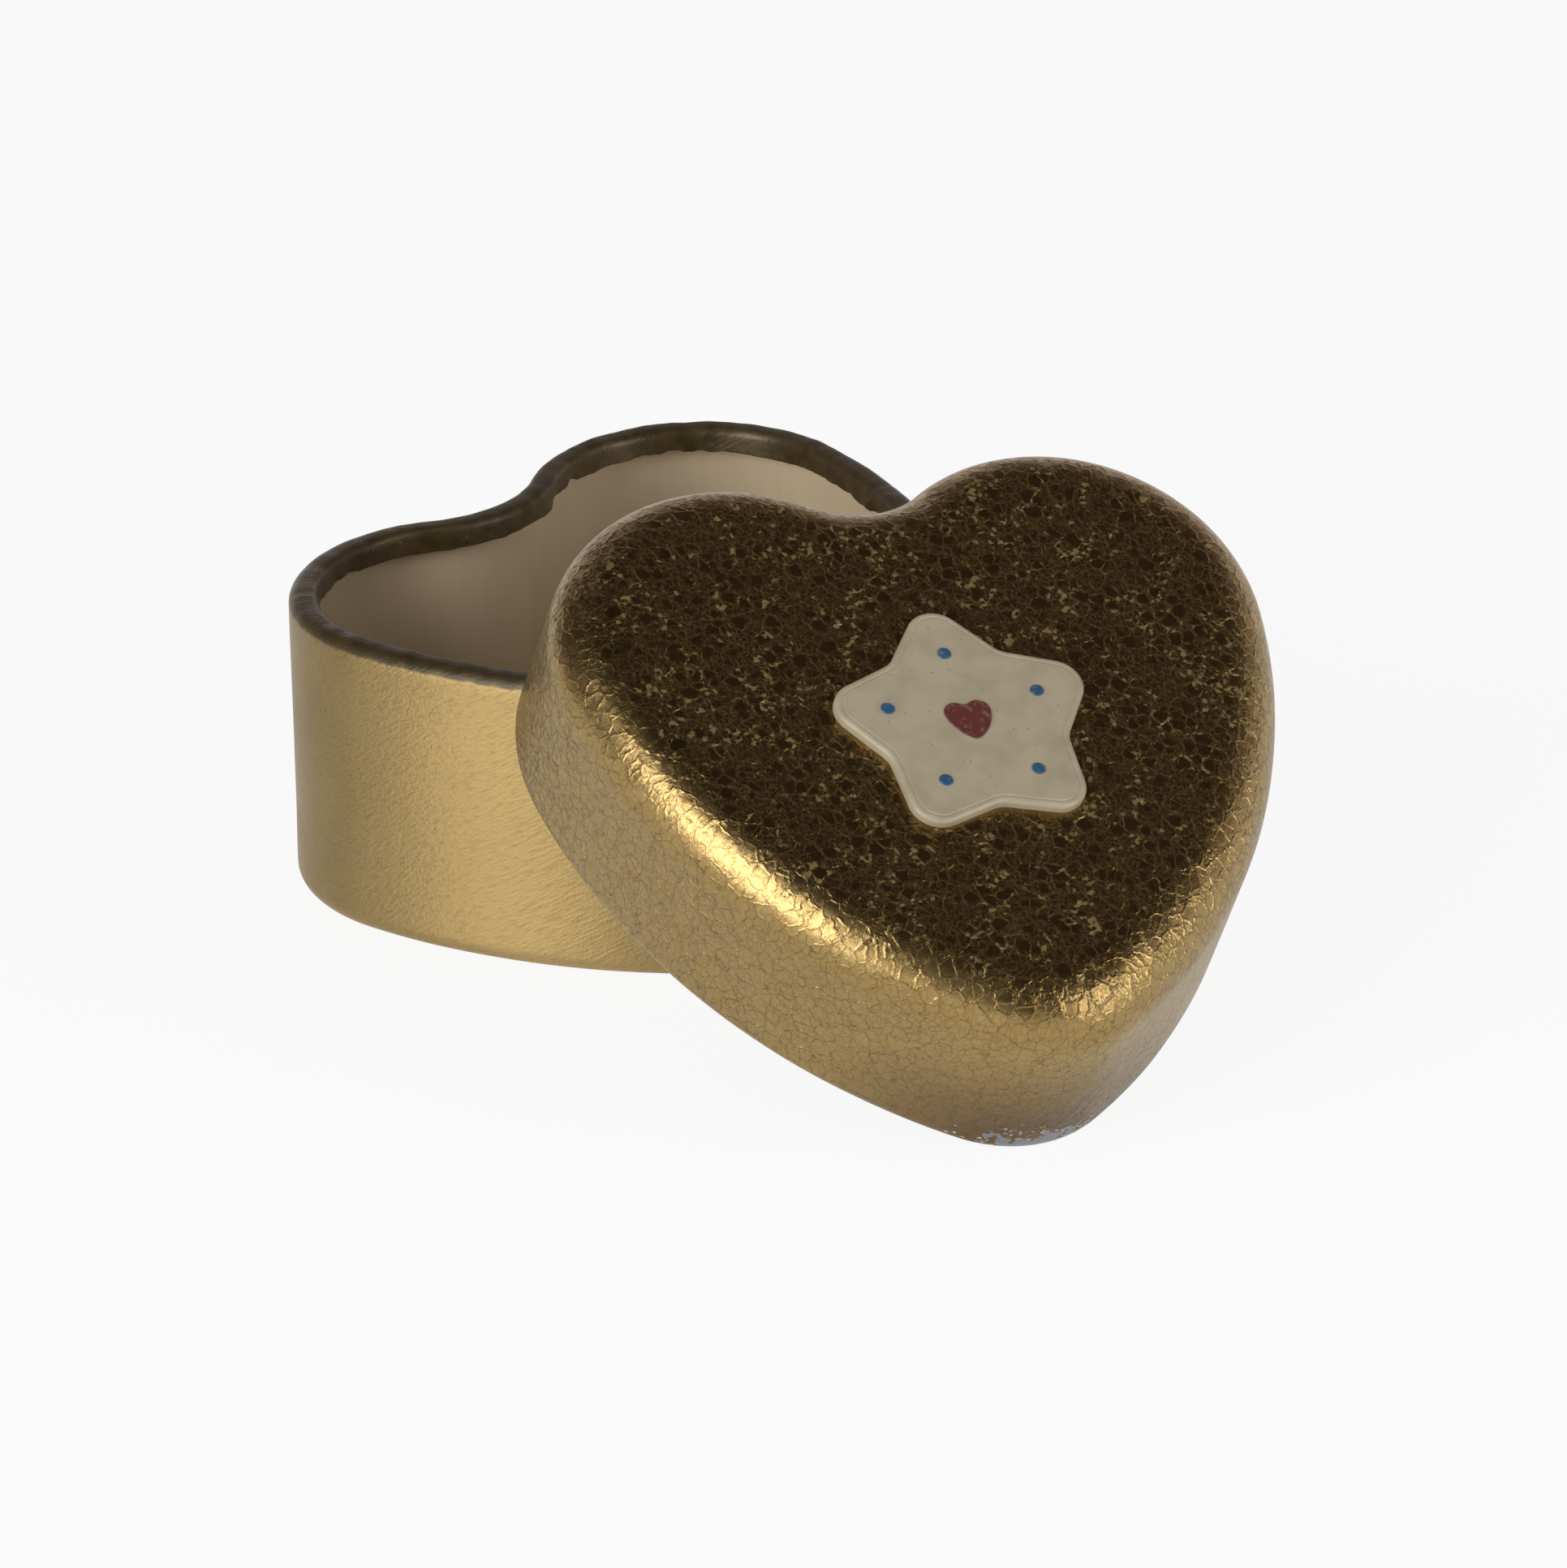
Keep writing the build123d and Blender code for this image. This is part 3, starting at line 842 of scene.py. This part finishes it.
            # On the top, the middle of a large cell is a smooth round spot, as large as chance has it
            edge = add(
                tree, "ShaderNodeMath", {0: chance, 1: 0.5, 2: 0.08}, operation="MULTIPLY_ADD"
            ).outputs[0]
            beyond = add(
                tree, "ShaderNodeMath", {0: cell["Distance"], 1: edge}, operation="SUBTRACT"
            ).outputs[0]
            patch = add(
                tree, "ShaderNodeMapRange", {"Value": beyond, "From Min": -0.1, "From Max": 0.08},
                interpolation_type="SMOOTHSTEP",
            ).outputs[0]
            patch = add(tree, "ShaderNodeMath", {0: patch, 1: skirt}, operation="MAXIMUM").outputs[0]
        else:
            line = add(
                tree, "ShaderNodeMapRange",
                {"Value": border, "From Min": 0.0, "From Max": 0.07 / width, "To Min": pale, "To Max": 0.0},
            ).outputs[0]
            fold = add(tree, "ShaderNodeMath", {0: line, 1: fold}, operation="ADD").outputs[0]
            share = add(tree, "ShaderNodeMath", {0: loose, 1: patch}, operation="MULTIPLY").outputs[0]
        crumple = add(tree, "ShaderNodeMath", {0: facet, 1: crease}, operation="ADD").outputs[0]
        height = add(
            tree, "ShaderNodeMath", {0: crumple, 1: share, 2: height}, operation="MULTIPLY_ADD"
        ).outputs[0]
    # Bare sheet where the foil has chipped off, under the tip
    near = add(
        tree, "ShaderNodeVectorMath", {0: from_tip, 1: (0.25 / MM, 0.25 / MM, 0.6 / MM)}, operation="MULTIPLY"
    )
    near = add(tree, "ShaderNodeVectorMath", {0: near.outputs[0]}, operation="LENGTH").outputs["Value"]
    ragged = add(
        tree, "ShaderNodeTexNoise", {"Vector": place, "Scale": 1 / (1.2 * MM), "Detail": 4.0}
    ).outputs["Fac"]
    ragged = add(tree, "ShaderNodeMath", {0: ragged, 1: 4.0, 2: -1.05}, operation="MULTIPLY_ADD").outputs[0]
    chip = add(tree, "ShaderNodeMath", {0: ragged, 1: near}, operation="SUBTRACT").outputs[0]
    chip = add(tree, "ShaderNodeMapRange", {"Value": chip, "From Min": -0.02, "From Max": 0.02}).outputs[0]
    kept = add(tree, "ShaderNodeMath", {0: 1.0, 1: chip}, operation="SUBTRACT").outputs[0]
    height = add(tree, "ShaderNodeMath", {0: height, 1: kept}, operation="MULTIPLY").outputs[0]
    height = add(tree, "ShaderNodeMath", {0: kept, 1: 0.08, 2: height}, operation="MULTIPLY_ADD").outputs[0]
    bump = add(tree, "ShaderNodeBump", {"Height": height, "Distance": MM, "Strength": 1.0}).outputs[0]
    # The cracks show dark except on the top, and round the tip, down to its foot, the foil is painted darker
    # as shade
    shade = add(tree, "ShaderNodeMath", {0: shade, 1: flat}, operation="MULTIPLY").outputs[0]
    tip_shade = add(
        tree, "ShaderNodeVectorMath",
        {0: from_tip, 1: (0.055 / MM, 0.055 / MM, 0.09 / MM)}, operation="MULTIPLY",
    )
    tip_shade = add(tree, "ShaderNodeVectorMath", {0: tip_shade.outputs[0]}, operation="LENGTH").outputs["Value"]
    tip_shade = add(
        tree, "ShaderNodeMapRange",
        {"Value": tip_shade, "From Min": 0.3, "From Max": 1.1, "To Min": 0.9, "To Max": 0.0},
    ).outputs[0]
    # Short dull scratches lie over the chips, and rubbed flecks are strewn over the top
    dash = add(tree, "ShaderNodeMapping", {"Vector": place, "Scale": (0.5, 0.5, 1.3)}).outputs[0]
    dash = add(
        tree, "ShaderNodeTexNoise", {"Vector": dash, "Scale": 1 / (0.35 * MM), "Detail": 1.0}
    ).outputs["Fac"]
    away = add(
        tree, "ShaderNodeMapRange", {"Value": near, "From Min": 1.4, "From Max": 3.2, "To Max": 0.4}
    ).outputs[0]
    dash = add(tree, "ShaderNodeMath", {0: dash, 1: away}, operation="SUBTRACT").outputs[0]
    dash = add(
        tree, "ShaderNodeMapRange", {"Value": dash, "From Min": 0.61, "From Max": 0.64, "To Max": 0.9}
    ).outputs[0]
    # A fleck is a whole small cell, and chance picks which, more of them in some places
    fleck = add(tree, "ShaderNodeMath", {0: sway, 1: 0.8, 2: chance}, operation="MULTIPLY_ADD").outputs[0]
    fleck = add(
        tree, "ShaderNodeMapRange", {"Value": fleck, "From Min": 1.72, "From Max": 1.8, "To Max": 0.6}
    ).outputs[0]
    fleck = add(tree, "ShaderNodeMath", {0: fleck, 1: fold}, operation="ADD").outputs[0]
    fleck = add(tree, "ShaderNodeMath", {0: fleck, 1: patch}, operation="MULTIPLY").outputs[0]
    fleck = add(tree, "ShaderNodeMath", {0: fleck, 1: top}, operation="MULTIPLY").outputs[0]
    dull = add(tree, "ShaderNodeMath", {0: dash, 1: fleck}, operation="MAXIMUM").outputs[0]
    dull = add(tree, "ShaderNodeMath", {0: dull, 1: kept}, operation="MULTIPLY").outputs[0]
    metal = add(tree, "ShaderNodeMath", {0: dull, 1: -0.8, 2: 1.0}, operation="MULTIPLY_ADD").outputs[0]
    base = plain_colour(colours, "foil_gold")
    # The top is painted darker as shade, and so is the foil round the tip
    for share, name in (
        (shade, "foil_crack"), (tip_shade, "foil_tip_shade"), (top, "foil_top_shade"), (fleck, "foil_fleck"),
        (dash, "foil_scratch"), (chip, "tinplate"),
    ):
        base = add(
            tree, "ShaderNodeMix",
            {"Factor": share, 6: base, 7: plain_colour(colours, name)}, data_type="RGBA",
        ).outputs[2]
    shader = add(
        tree, "ShaderNodeBsdfPrincipled",
        {"Base Color": base, "Metallic": metal, "Roughness": 0.3, "Normal": bump, "Coat Weight": 0.2,
         "Coat Roughness": 0.35},
    ).outputs[0]
    add(tree, "ShaderNodeOutputMaterial", {"Surface": shader})
    return material


def cream_enamel(colours):
    """Stoved enamel on a pressed plate: cream, eggshell sheen, with a few dark specks."""
    material, tree = new_material("cream_enamel")
    place = add(tree, "ShaderNodeAttribute", attribute_name="lay").outputs["Vector"]
    cloud = add(
        tree, "ShaderNodeTexNoise", {"Vector": place, "Scale": 1 / (2.5 * MM), "Detail": 4.0}
    ).outputs["Fac"]
    # Specks 0.15 mm across, about one to the square millimetre
    speck = add(tree, "ShaderNodeTexVoronoi", {"Vector": place, "Scale": 1 / (1.0 * MM)}).outputs["Distance"]
    speck = add(
        tree, "ShaderNodeMapRange",
        {"Value": speck, "From Min": 0.05, "From Max": 0.12, "To Min": 0.8, "To Max": 0.0},
    ).outputs[0]
    thin = add(
        tree, "ShaderNodeMapRange", {"Value": cloud, "From Min": 0.4, "From Max": 0.75, "To Max": 0.35}
    ).outputs[0]
    share = add(tree, "ShaderNodeMath", {0: speck, 1: thin}, operation="MAXIMUM").outputs[0]
    cream, dark = plain_colour(colours, "cream_enamel"), plain_colour(colours, "cream_speck")
    base = add(tree, "ShaderNodeMix", {"Factor": share, 6: cream, 7: dark}, data_type="RGBA").outputs[2]
    # Stoving leaves faint swells 0.5 mm across, as on orange peel
    peel = add(
        tree, "ShaderNodeTexNoise", {"Vector": place, "Scale": 1 / (0.5 * MM), "Detail": 2.0}
    ).outputs["Fac"]
    bump = add(tree, "ShaderNodeBump", {"Height": peel, "Distance": 0.015 * MM, "Strength": 0.6}).outputs[0]
    shader = add(
        tree, "ShaderNodeBsdfPrincipled",
        {"Base Color": base, "Roughness": 0.38, "Normal": bump, "IOR": 1.5},
    ).outputs[0]
    add(tree, "ShaderNodeOutputMaterial", {"Surface": shader})
    return material


def coloured_enamel(name, colours, tint):
    """Enamel drop on the star: glossy, with a thin uneven place here and there."""
    material, tree = new_material(name)
    place = add(tree, "ShaderNodeAttribute", attribute_name="lay").outputs["Vector"]
    cloud = add(
        tree, "ShaderNodeTexNoise", {"Vector": place, "Scale": 1 / (0.6 * MM), "Detail": 3.0}
    ).outputs["Fac"]
    thin = add(
        tree, "ShaderNodeMapRange", {"Value": cloud, "From Min": 0.5, "From Max": 0.8, "To Max": 0.35}
    ).outputs[0]
    full, cream = plain_colour(colours, tint), plain_colour(colours, "cream_enamel")
    base = add(tree, "ShaderNodeMix", {"Factor": thin, 6: full, 7: cream}, data_type="RGBA").outputs[2]
    bump = add(tree, "ShaderNodeBump", {"Height": cloud, "Distance": 0.02 * MM, "Strength": 0.5}).outputs[0]
    shader = add(
        tree, "ShaderNodeBsdfPrincipled",
        {"Base Color": base, "Roughness": 0.3, "Normal": bump, "IOR": 1.5},
    ).outputs[0]
    add(tree, "ShaderNodeOutputMaterial", {"Surface": shader})
    return material


# ---------------------------------------------------------------- operators


class MakeBaseTin(bpy.types.Operator):
    """Drawn cup of the base with its rolled rim and the rim's raw edge"""

    bl_idname = "keepsake_tin.base_tin"
    bl_label = "Base tin"

    def execute(self, context):
        sizes, colours = context.scene.tin_sizes, context.scene.tin_colours
        sheet, top, inset = sizes.sheet, sizes.base_height, sizes.foot_radius + sizes.sheet
        rim, drop, blunt = sizes.rim_width, sizes.rim_drop, sizes.rim_edge_share * sizes.sheet
        corners = [
            (-inset, 0), (0, 0), (0, top), (-rim, top), (-rim, top - drop), (sheet - rim, top - drop),
            (sheet - rim, top - sheet), (-sheet, top - sheet), (-sheet, sheet), (-inset, sheet),
        ]
        foot, outer, inner = sizes.foot_radius, sizes.rim_outer_radius, sizes.rim_inner_radius
        radii = [foot, outer, inner, blunt, blunt, inner - sheet, outer - sheet, foot - sheet]

        def hem(out, up):
            """A point's share in the raw edge's wander: none where the rim turns down, all at the edge."""
            turned_down = out < inner - rim and up > top - drop - sheet
            return max(0.0, (top - up) / drop) ** 2 if turned_down else 0.0

        def rim_top(out, up):
            """A point's share in the rim's knocks and in its dark colour, which is painted shade inside the
            curl: all on top and inside, less down the wall.
            """
            if out < -outer and up > top - drop - sheet and out < 2 * sheet - rim:
                return 1.0
            return max(0.0, 1 - (top - up) / outer)

        section = closed_section(
            corners, radii, sizes.rim_step, sizes.base_rings, hem, rim_top, sizes.wall_step
        )
        piece = pressed_sheet(
            context, "base_tin", section, gold_lacquered_tinplate(colours), hem_wave=sizes.hem_wave,
            hem_wave_length=sizes.hem_wave_length, rim_dent_depth=sizes.rim_dent_depth,
        )
        finish_piece(piece, "base", "gold_lacquered_tinplate", "base_shell")
        return {"FINISHED"}


class MakeBaseLacquer(bpy.types.Operator):
    """Cream coat on the inside of the base"""

    bl_idname = "keepsake_tin.base_lacquer"
    bl_label = "Base lacquer"

    def execute(self, context):
        sizes, colours = context.scene.tin_sizes, context.scene.tin_colours
        sheet, coat, inset = sizes.sheet, sizes.lacquer, sizes.foot_radius + sizes.sheet
        top = sizes.base_height - sizes.rim_outer_radius
        corners = [
            (-inset, sheet), (-sheet, sheet), (-sheet, top), (-sheet - coat, top),
            (-sheet - coat, sheet + coat), (-inset, sheet + coat),
        ]
        foot, blunt = sizes.foot_radius - sheet, sizes.edge_share * coat
        radii = [foot, blunt, blunt, foot - coat]
        section = closed_section(corners, radii, sizes.coat_step, sizes.plate_rings)
        piece = pressed_sheet(context, "base_lacquer", section, inside_lacquer(colours))
        finish_piece(piece, "base", "inside_lacquer", "base_lining")
        return {"FINISHED"}


class MakeLidTin(bpy.types.Operator):
    """Drawn tinplate of the lid with its curled lower edge"""

    bl_idname = "keepsake_tin.lid_tin"
    bl_label = "Lid tin"

    def execute(self, context):
        scene = context.scene
        sizes, plaque, colours = scene.tin_sizes, scene.plaque_sizes, scene.tin_colours
        sheet, skin, top, gap = sizes.sheet, sizes.foil, sizes.lid_height, sizes.slip_clearance
        skirt = gap + sizes.curl_width
        start = skirt - sizes.shoulder_radius - sheet
        corners = [
            (start, top), (skirt, top), (skirt, skin), (gap + skin, skin), (gap + skin, sizes.curl_drop),
            (gap + sheet, sizes.curl_drop), (gap + sheet, sheet), (skirt - sheet, sheet),
            (skirt - sheet, top - sheet), (start, top - sheet),
        ]
        curl, shoulder, blunt = sizes.curl_radius, sizes.shoulder_radius, sizes.edge_share * (sheet - skin)
        radii = [shoulder, curl, curl - skin, blunt, blunt, curl - sheet, curl - sheet, shoulder - sheet]
        section = closed_section(corners, radii, sizes.lid_step, sizes.plate_rings)[::-1]
        piece = pressed_sheet(context, "lid_tin", section, bare_tinplate(colours))
        piece.data.transform(lid_place(sizes, plaque))
        finish_piece(piece, "lid", "tinplate", "lid_shell")
        return {"FINISHED"}


class MakeLidFoil(bpy.types.Operator):
    """Crackled gold foil over the lid, from its top down and round the curled edge"""

    bl_idname = "keepsake_tin.lid_foil"
    bl_label = "Lid foil"

    def execute(self, context):
        scene = context.scene
        sizes, plaque, colours = scene.tin_sizes, scene.plaque_sizes, scene.tin_colours
        skin, top, gap, drop = sizes.foil, sizes.lid_height, sizes.slip_clearance, sizes.curl_drop
        skirt = gap + sizes.curl_width
        start = skirt - sizes.shoulder_radius - sizes.sheet
        corners = [
            (start, top + skin), (skirt + skin, top + skin), (skirt + skin, 0), (gap, 0), (gap, drop),
            (gap + skin, drop), (gap + skin, skin), (skirt, skin), (skirt, top), (start, top),
        ]
        curl, shoulder, blunt = sizes.curl_radius, sizes.shoulder_radius, sizes.edge_share * skin
        radii = [shoulder + skin, curl + skin, curl, blunt, blunt, curl - skin, curl, shoulder]
        section = closed_section(corners, radii, sizes.foil_step, sizes.foil_rings)[::-1]
        piece = pressed_sheet(context, "lid_gold_foil", section, crackled_gold_foil(colours))
        piece.data.transform(lid_place(sizes, plaque))
        finish_piece(piece, "lid", "crackled_gold_foil", "lid_foil")
        return {"FINISHED"}


class MakeLidLacquer(bpy.types.Operator):
    """Cream coat on the inside of the lid"""

    bl_idname = "keepsake_tin.lid_lacquer"
    bl_label = "Lid lacquer"

    def execute(self, context):
        scene = context.scene
        sizes, plaque, colours = scene.tin_sizes, scene.plaque_sizes, scene.tin_colours
        coat, ceiling = sizes.lacquer, sizes.lid_height - sizes.sheet
        skirt = sizes.slip_clearance + sizes.curl_width
        start, wall = skirt - sizes.shoulder_radius - sizes.sheet, skirt - sizes.sheet
        corners = [
            (start, ceiling), (wall, ceiling), (wall, sizes.curl_radius), (wall - coat, sizes.curl_radius),
            (wall - coat, ceiling - coat), (start, ceiling - coat),
        ]
        shoulder, blunt = sizes.shoulder_radius - sizes.sheet, sizes.edge_share * coat
        radii = [shoulder, blunt, blunt, shoulder - coat]
        section = closed_section(corners, radii, sizes.coat_step, sizes.plate_rings)[::-1]
        piece = pressed_sheet(context, "lid_lacquer", section, inside_lacquer(colours))
        piece.data.transform(lid_place(sizes, plaque))
        finish_piece(piece, "lid", "inside_lacquer", "lid_lining")
        return {"FINISHED"}


class MakeStar(bpy.types.Operator):
    """Enamelled star on the lid, with its rounded edge and the line pressed inside it"""

    bl_idname = "keepsake_tin.star"
    bl_label = "Star"

    def execute(self, context):
        scene = context.scene
        sizes, plaque, colours = scene.tin_sizes, scene.plaque_sizes, scene.tin_colours
        low = sizes.lid_height + sizes.foil
        top = low + plaque.thickness
        groove, half, deep = plaque.groove_inset, plaque.groove_width / 2, plaque.groove_depth
        plate = groove + 2 * plaque.groove_width
        corners = [
            (-plate, low), (0, low), (0, top), (half - groove, top), (-groove, top - deep),
            (-groove - half, top), (-plate, top),
        ]
        radii = [plaque.foot_radius, plaque.edge_radius] + [plaque.groove_radius] * 3
        section = closed_section(corners, radii, plaque.edge_step, plaque.star_rings)
        piece = sweep("star", star_outline(plaque), section, (0, 0, 0), cream_enamel(colours))
        piece.data.transform(lid_place(sizes, plaque) @ Matrix.Translation((0, -plaque.setback, 0)))
        finish_piece(piece, "lid", "cream_enamel", "lid_plaque")
        return {"FINISHED"}


class MakeEnamelDrops(bpy.types.Operator):
    """Red heart and blue dots of enamel on the star"""

    bl_idname = "keepsake_tin.enamel_drops"
    bl_label = "Enamel drops"

    def execute(self, context):
        scene = context.scene
        sizes, plaque, colours = scene.tin_sizes, scene.plaque_sizes, scene.tin_colours
        face = sizes.lid_height + sizes.foil + plaque.thickness
        low, top, edge = face - plaque.drop_sink, face + plaque.drop_thickness, plaque.drop_plate
        radii = [plaque.drop_foot, plaque.drop_edge_share * plaque.drop_thickness]
        corners = [(-edge, low), (0, low), (0, top), (-edge, top)]
        section = closed_section(corners, radii, plaque.drop_step, plaque.drop_rings)
        share = plaque.heart_share
        middle_y = share * (sizes.lobe_radius - sizes.tip_reach - sizes.tip_radius) / 2
        heart = sweep(
            "enamel_heart", heart_outline(sizes, share), section, (0, -share * sizes.plates_middle, 0),
            coloured_enamel("red_enamel", colours, "red_enamel"),
        )
        place = lid_place(sizes, plaque)
        heart.data.transform(place @ Matrix.Translation((0, -plaque.setback - middle_y, 0)))
        finish_piece(heart, "lid", "red_enamel", "plaque_heart")
        blue = coloured_enamel("blue_enamel", colours, "blue_enamel")
        dot = sweep("one_dot", circle_outline(plaque.dot_radius, plaque.dot_sides), section, (0, 0, 0), blue)
        dots = apply_tree(dot, dot_ring_tree(), {
            "Count": plaque.point_count,
            "Reach": plaque.dot_reach,
            "Middle": Vector((0, -plaque.setback, 0)),
            "Material": blue,
        }, "enamel_dots")
        bpy.data.objects.remove(dot)
        dots.data.transform(place)
        nodes = [f"plaque_dot_{number}" for number in range(1, plaque.point_count + 1)]
        finish_piece(dots, "lid", "blue_enamel", *nodes)
        return {"FINISHED"}


class MakeStage(bpy.types.Operator):
    """Pale floor, soft studio light and the camera"""

    bl_idname = "keepsake_tin.stage"
    bl_label = "Stage"

    def execute(self, context):
        scene, stage = context.scene, context.scene.stage_settings
        half = stage.floor_half
        mesh = bpy.data.meshes.new("floor")
        corners = [(-half, -half, 0), (half, -half, 0), (half, half, 0), (-half, half, 0)]
        mesh.from_pydata(corners, [], [(0, 1, 2, 3)])
        floor = bpy.data.objects.new("floor", mesh)
        scene.collection.objects.link(floor)
        material, tree = new_material("floor_paper")
        # Paper lit from below as well, as on a light table, for camera, gloss and glass. It keeps its shadow
        rays = add(tree, "ShaderNodeLightPath").outputs
        shown = add(
            tree, "ShaderNodeMath",
            {0: rays["Is Glossy Ray"], 1: rays["Is Transmission Ray"]}, operation="ADD",
        ).outputs[0]
        share = add(tree, "ShaderNodeMath", {0: shown, 1: 0.6}, operation="MULTIPLY").outputs[0]
        share = add(
            tree, "ShaderNodeMath", {0: rays["Is Camera Ray"], 1: 0.9, 2: share}, operation="MULTIPLY_ADD"
        ).outputs[0]
        paper = add(tree, "ShaderNodeBsdfDiffuse", {"Color": (*stage.floor, 1.0)}).outputs[0]
        glow = add(tree, "ShaderNodeEmission", {"Color": (1.0, 1.0, 1.0, 1.0), "Strength": 1.0}).outputs[0]
        both = add(tree, "ShaderNodeMixShader", {0: share, 1: paper, 2: glow}).outputs[0]
        add(tree, "ShaderNodeOutputMaterial", {"Surface": both})
        mesh.materials.append(material)
        self.make_world(scene, stage)
        # Azimuth and elevation in degrees, radiance, then width and height in metres
        for name, azimuth, elevation, radiance, width, tall in (
            ("left_softbox", -87, 20, stage.left_lamp, 0.52, 0.54),
            ("right_softbox", 18, 15, stage.right_lamp, 0.42, 0.5),
        ):
            lamp = bpy.data.lights.new(name, "AREA")
            lamp.shape = "RECTANGLE"
            lamp.size, lamp.size_y = width, tall
            lamp.energy = radiance * pi * width * tall
            softbox = bpy.data.objects.new(name, lamp)
            turn, rise = radians(azimuth), radians(elevation)
            back = Vector((sin(turn) * cos(rise), -cos(turn) * cos(rise), sin(rise)))
            softbox.location = Vector(stage.lamp_aim) + stage.lamp_distance * back
            softbox.rotation_euler = back.to_track_quat("Z", "Y").to_euler()
            scene.collection.objects.link(softbox)
        camera = bpy.data.objects.new("camera", bpy.data.cameras.new("camera"))
        camera.data.lens = stage.lens
        camera.data.sensor_width, camera.data.sensor_fit = stage.sensor, "HORIZONTAL"
        camera.data.clip_start, camera.data.clip_end = 0.05, 20.0
        camera.location = stage.camera_place
        turn = Matrix.Rotation(stage.heading, 3, "Z") @ Matrix.Rotation(pi / 2 - stage.pitch, 3, "X")
        camera.rotation_euler = (turn @ Matrix.Rotation(stage.roll, 3, "Z")).to_euler()
        scene.collection.objects.link(camera)
        scene.camera = camera
        scene.view_settings.view_transform = "Standard"
        return {"FINISHED"}

    def make_world(self, scene, stage):
        """Plain soft light. Camera, gloss and glass see a dim studio with a pale horizon and back wall."""
        world = bpy.data.worlds.new("studio")
        world.use_nodes = True
        tree = world.node_tree
        tree.nodes.clear()
        direction = add(tree, "ShaderNodeTexCoord").outputs["Generated"]
        height = add(tree, "ShaderNodeSeparateXYZ", {"Vector": direction}).outputs["Z"]
        facing = add(
            tree, "ShaderNodeVectorMath", {0: direction, 1: (0.94, 0.34, 0.0)}, operation="DOT_PRODUCT"
        )
        facing = add(
            tree, "ShaderNodeMapRange", {"Value": facing.outputs["Value"], "From Min": 0.2, "From Max": 0.7},
            interpolation_type="SMOOTHSTEP",
        ).outputs[0]
        # Height of the direction, and the level there: the dim room first, then the wall at the back
        dim = [(0.0, 0.95), (0.06, 0.8), (0.12, 0.22), (0.25, 0.12), (0.5, 0.05), (1.0, 0.02)]
        wall = [(0.0, 0.95), (0.08, 0.82), (0.2, 0.52), (0.5, 0.23), (0.66, 0.08), (1.0, 0.02)]
        sides = []
        for stops in (dim, wall):
            ramp = add(tree, "ShaderNodeValToRGB", {"Fac": height})
            elements = ramp.color_ramp.elements
            for number, (spot, level) in enumerate(stops):
                warm = 1 - 0.16 * min(1, spot / 0.3)
                element = elements[number] if number < 2 else elements.new(spot)
                element.position = spot
                element.color = (level, level * warm, level * warm, 1.0)
            sides.append(ramp.outputs["Color"])
        room = add(
            tree, "ShaderNodeMix", {"Factor": facing, 6: sides[0], 7: sides[1]}, data_type="RGBA"
        ).outputs[2]
        rays = add(tree, "ShaderNodeLightPath").outputs
        seen = add(
            tree, "ShaderNodeMath", {0: rays["Is Camera Ray"], 1: rays["Is Glossy Ray"]}, operation="ADD"
        )
        seen = add(
            tree, "ShaderNodeMath", {0: seen.outputs[0], 1: rays["Is Transmission Ray"]}, operation="ADD"
        )
        light = add(
            tree, "ShaderNodeBackground", {"Color": (1.0, 1.0, 1.0, 1.0), "Strength": stage.fill}
        ).outputs[0]
        studio = add(tree, "ShaderNodeBackground", {"Color": room, "Strength": 1.0}).outputs[0]
        both = add(tree, "ShaderNodeMixShader", {0: seen.outputs[0], 1: light, 2: studio}).outputs[0]
        add(tree, "ShaderNodeOutputWorld", {"Surface": both})
        scene.world = world


class KeepsakeTinPanel(bpy.types.Panel):
    """Lists the pieces, their sizes and colours"""

    bl_idname = "VIEW3D_PT_keepsake_tin"
    bl_label = "Keepsake tin"
    bl_space_type = "VIEW_3D"
    bl_region_type = "UI"
    bl_category = "Keepsake tin"

    def draw(self, context):
        for operator in OPERATORS:
            self.layout.operator(operator.bl_idname)
        for label in GROUPS:
            group = getattr(context.scene, label)
            box = self.layout.box()
            for name in group.__annotations__:
                box.prop(group, name)


GROUPS = {
    "tin_sizes": TinSizes,
    "plaque_sizes": PlaqueSizes,
    "tin_colours": TinColours,
    "stage_settings": StageSettings,
}
OPERATORS = (
    MakeStage,
    MakeBaseTin,
    MakeBaseLacquer,
    MakeLidTin,
    MakeLidFoil,
    MakeLidLacquer,
    MakeStar,
    MakeEnamelDrops,
)


def register():
    """Registers the classes and hangs their settings on the scene."""
    for kind in (*GROUPS.values(), *OPERATORS, KeepsakeTinPanel):
        bpy.utils.register_class(kind)
    for label, group in GROUPS.items():
        setattr(bpy.types.Scene, label, PointerProperty(type=group))


def unregister():
    """Takes all of that off again."""
    for label in GROUPS:
        delattr(bpy.types.Scene, label)
    for kind in (KeepsakeTinPanel, *reversed(OPERATORS), *GROUPS.values()):
        bpy.utils.unregister_class(kind)


def main():
    """Makes the stage and every piece."""
    register()
    bpy.ops.keepsake_tin.stage()
    bpy.ops.keepsake_tin.base_tin()
    bpy.ops.keepsake_tin.base_lacquer()
    bpy.ops.keepsake_tin.lid_tin()
    bpy.ops.keepsake_tin.lid_foil()
    bpy.ops.keepsake_tin.lid_lacquer()
    bpy.ops.keepsake_tin.star()
    bpy.ops.keepsake_tin.enamel_drops()


if __name__ == "__main__":
    main()
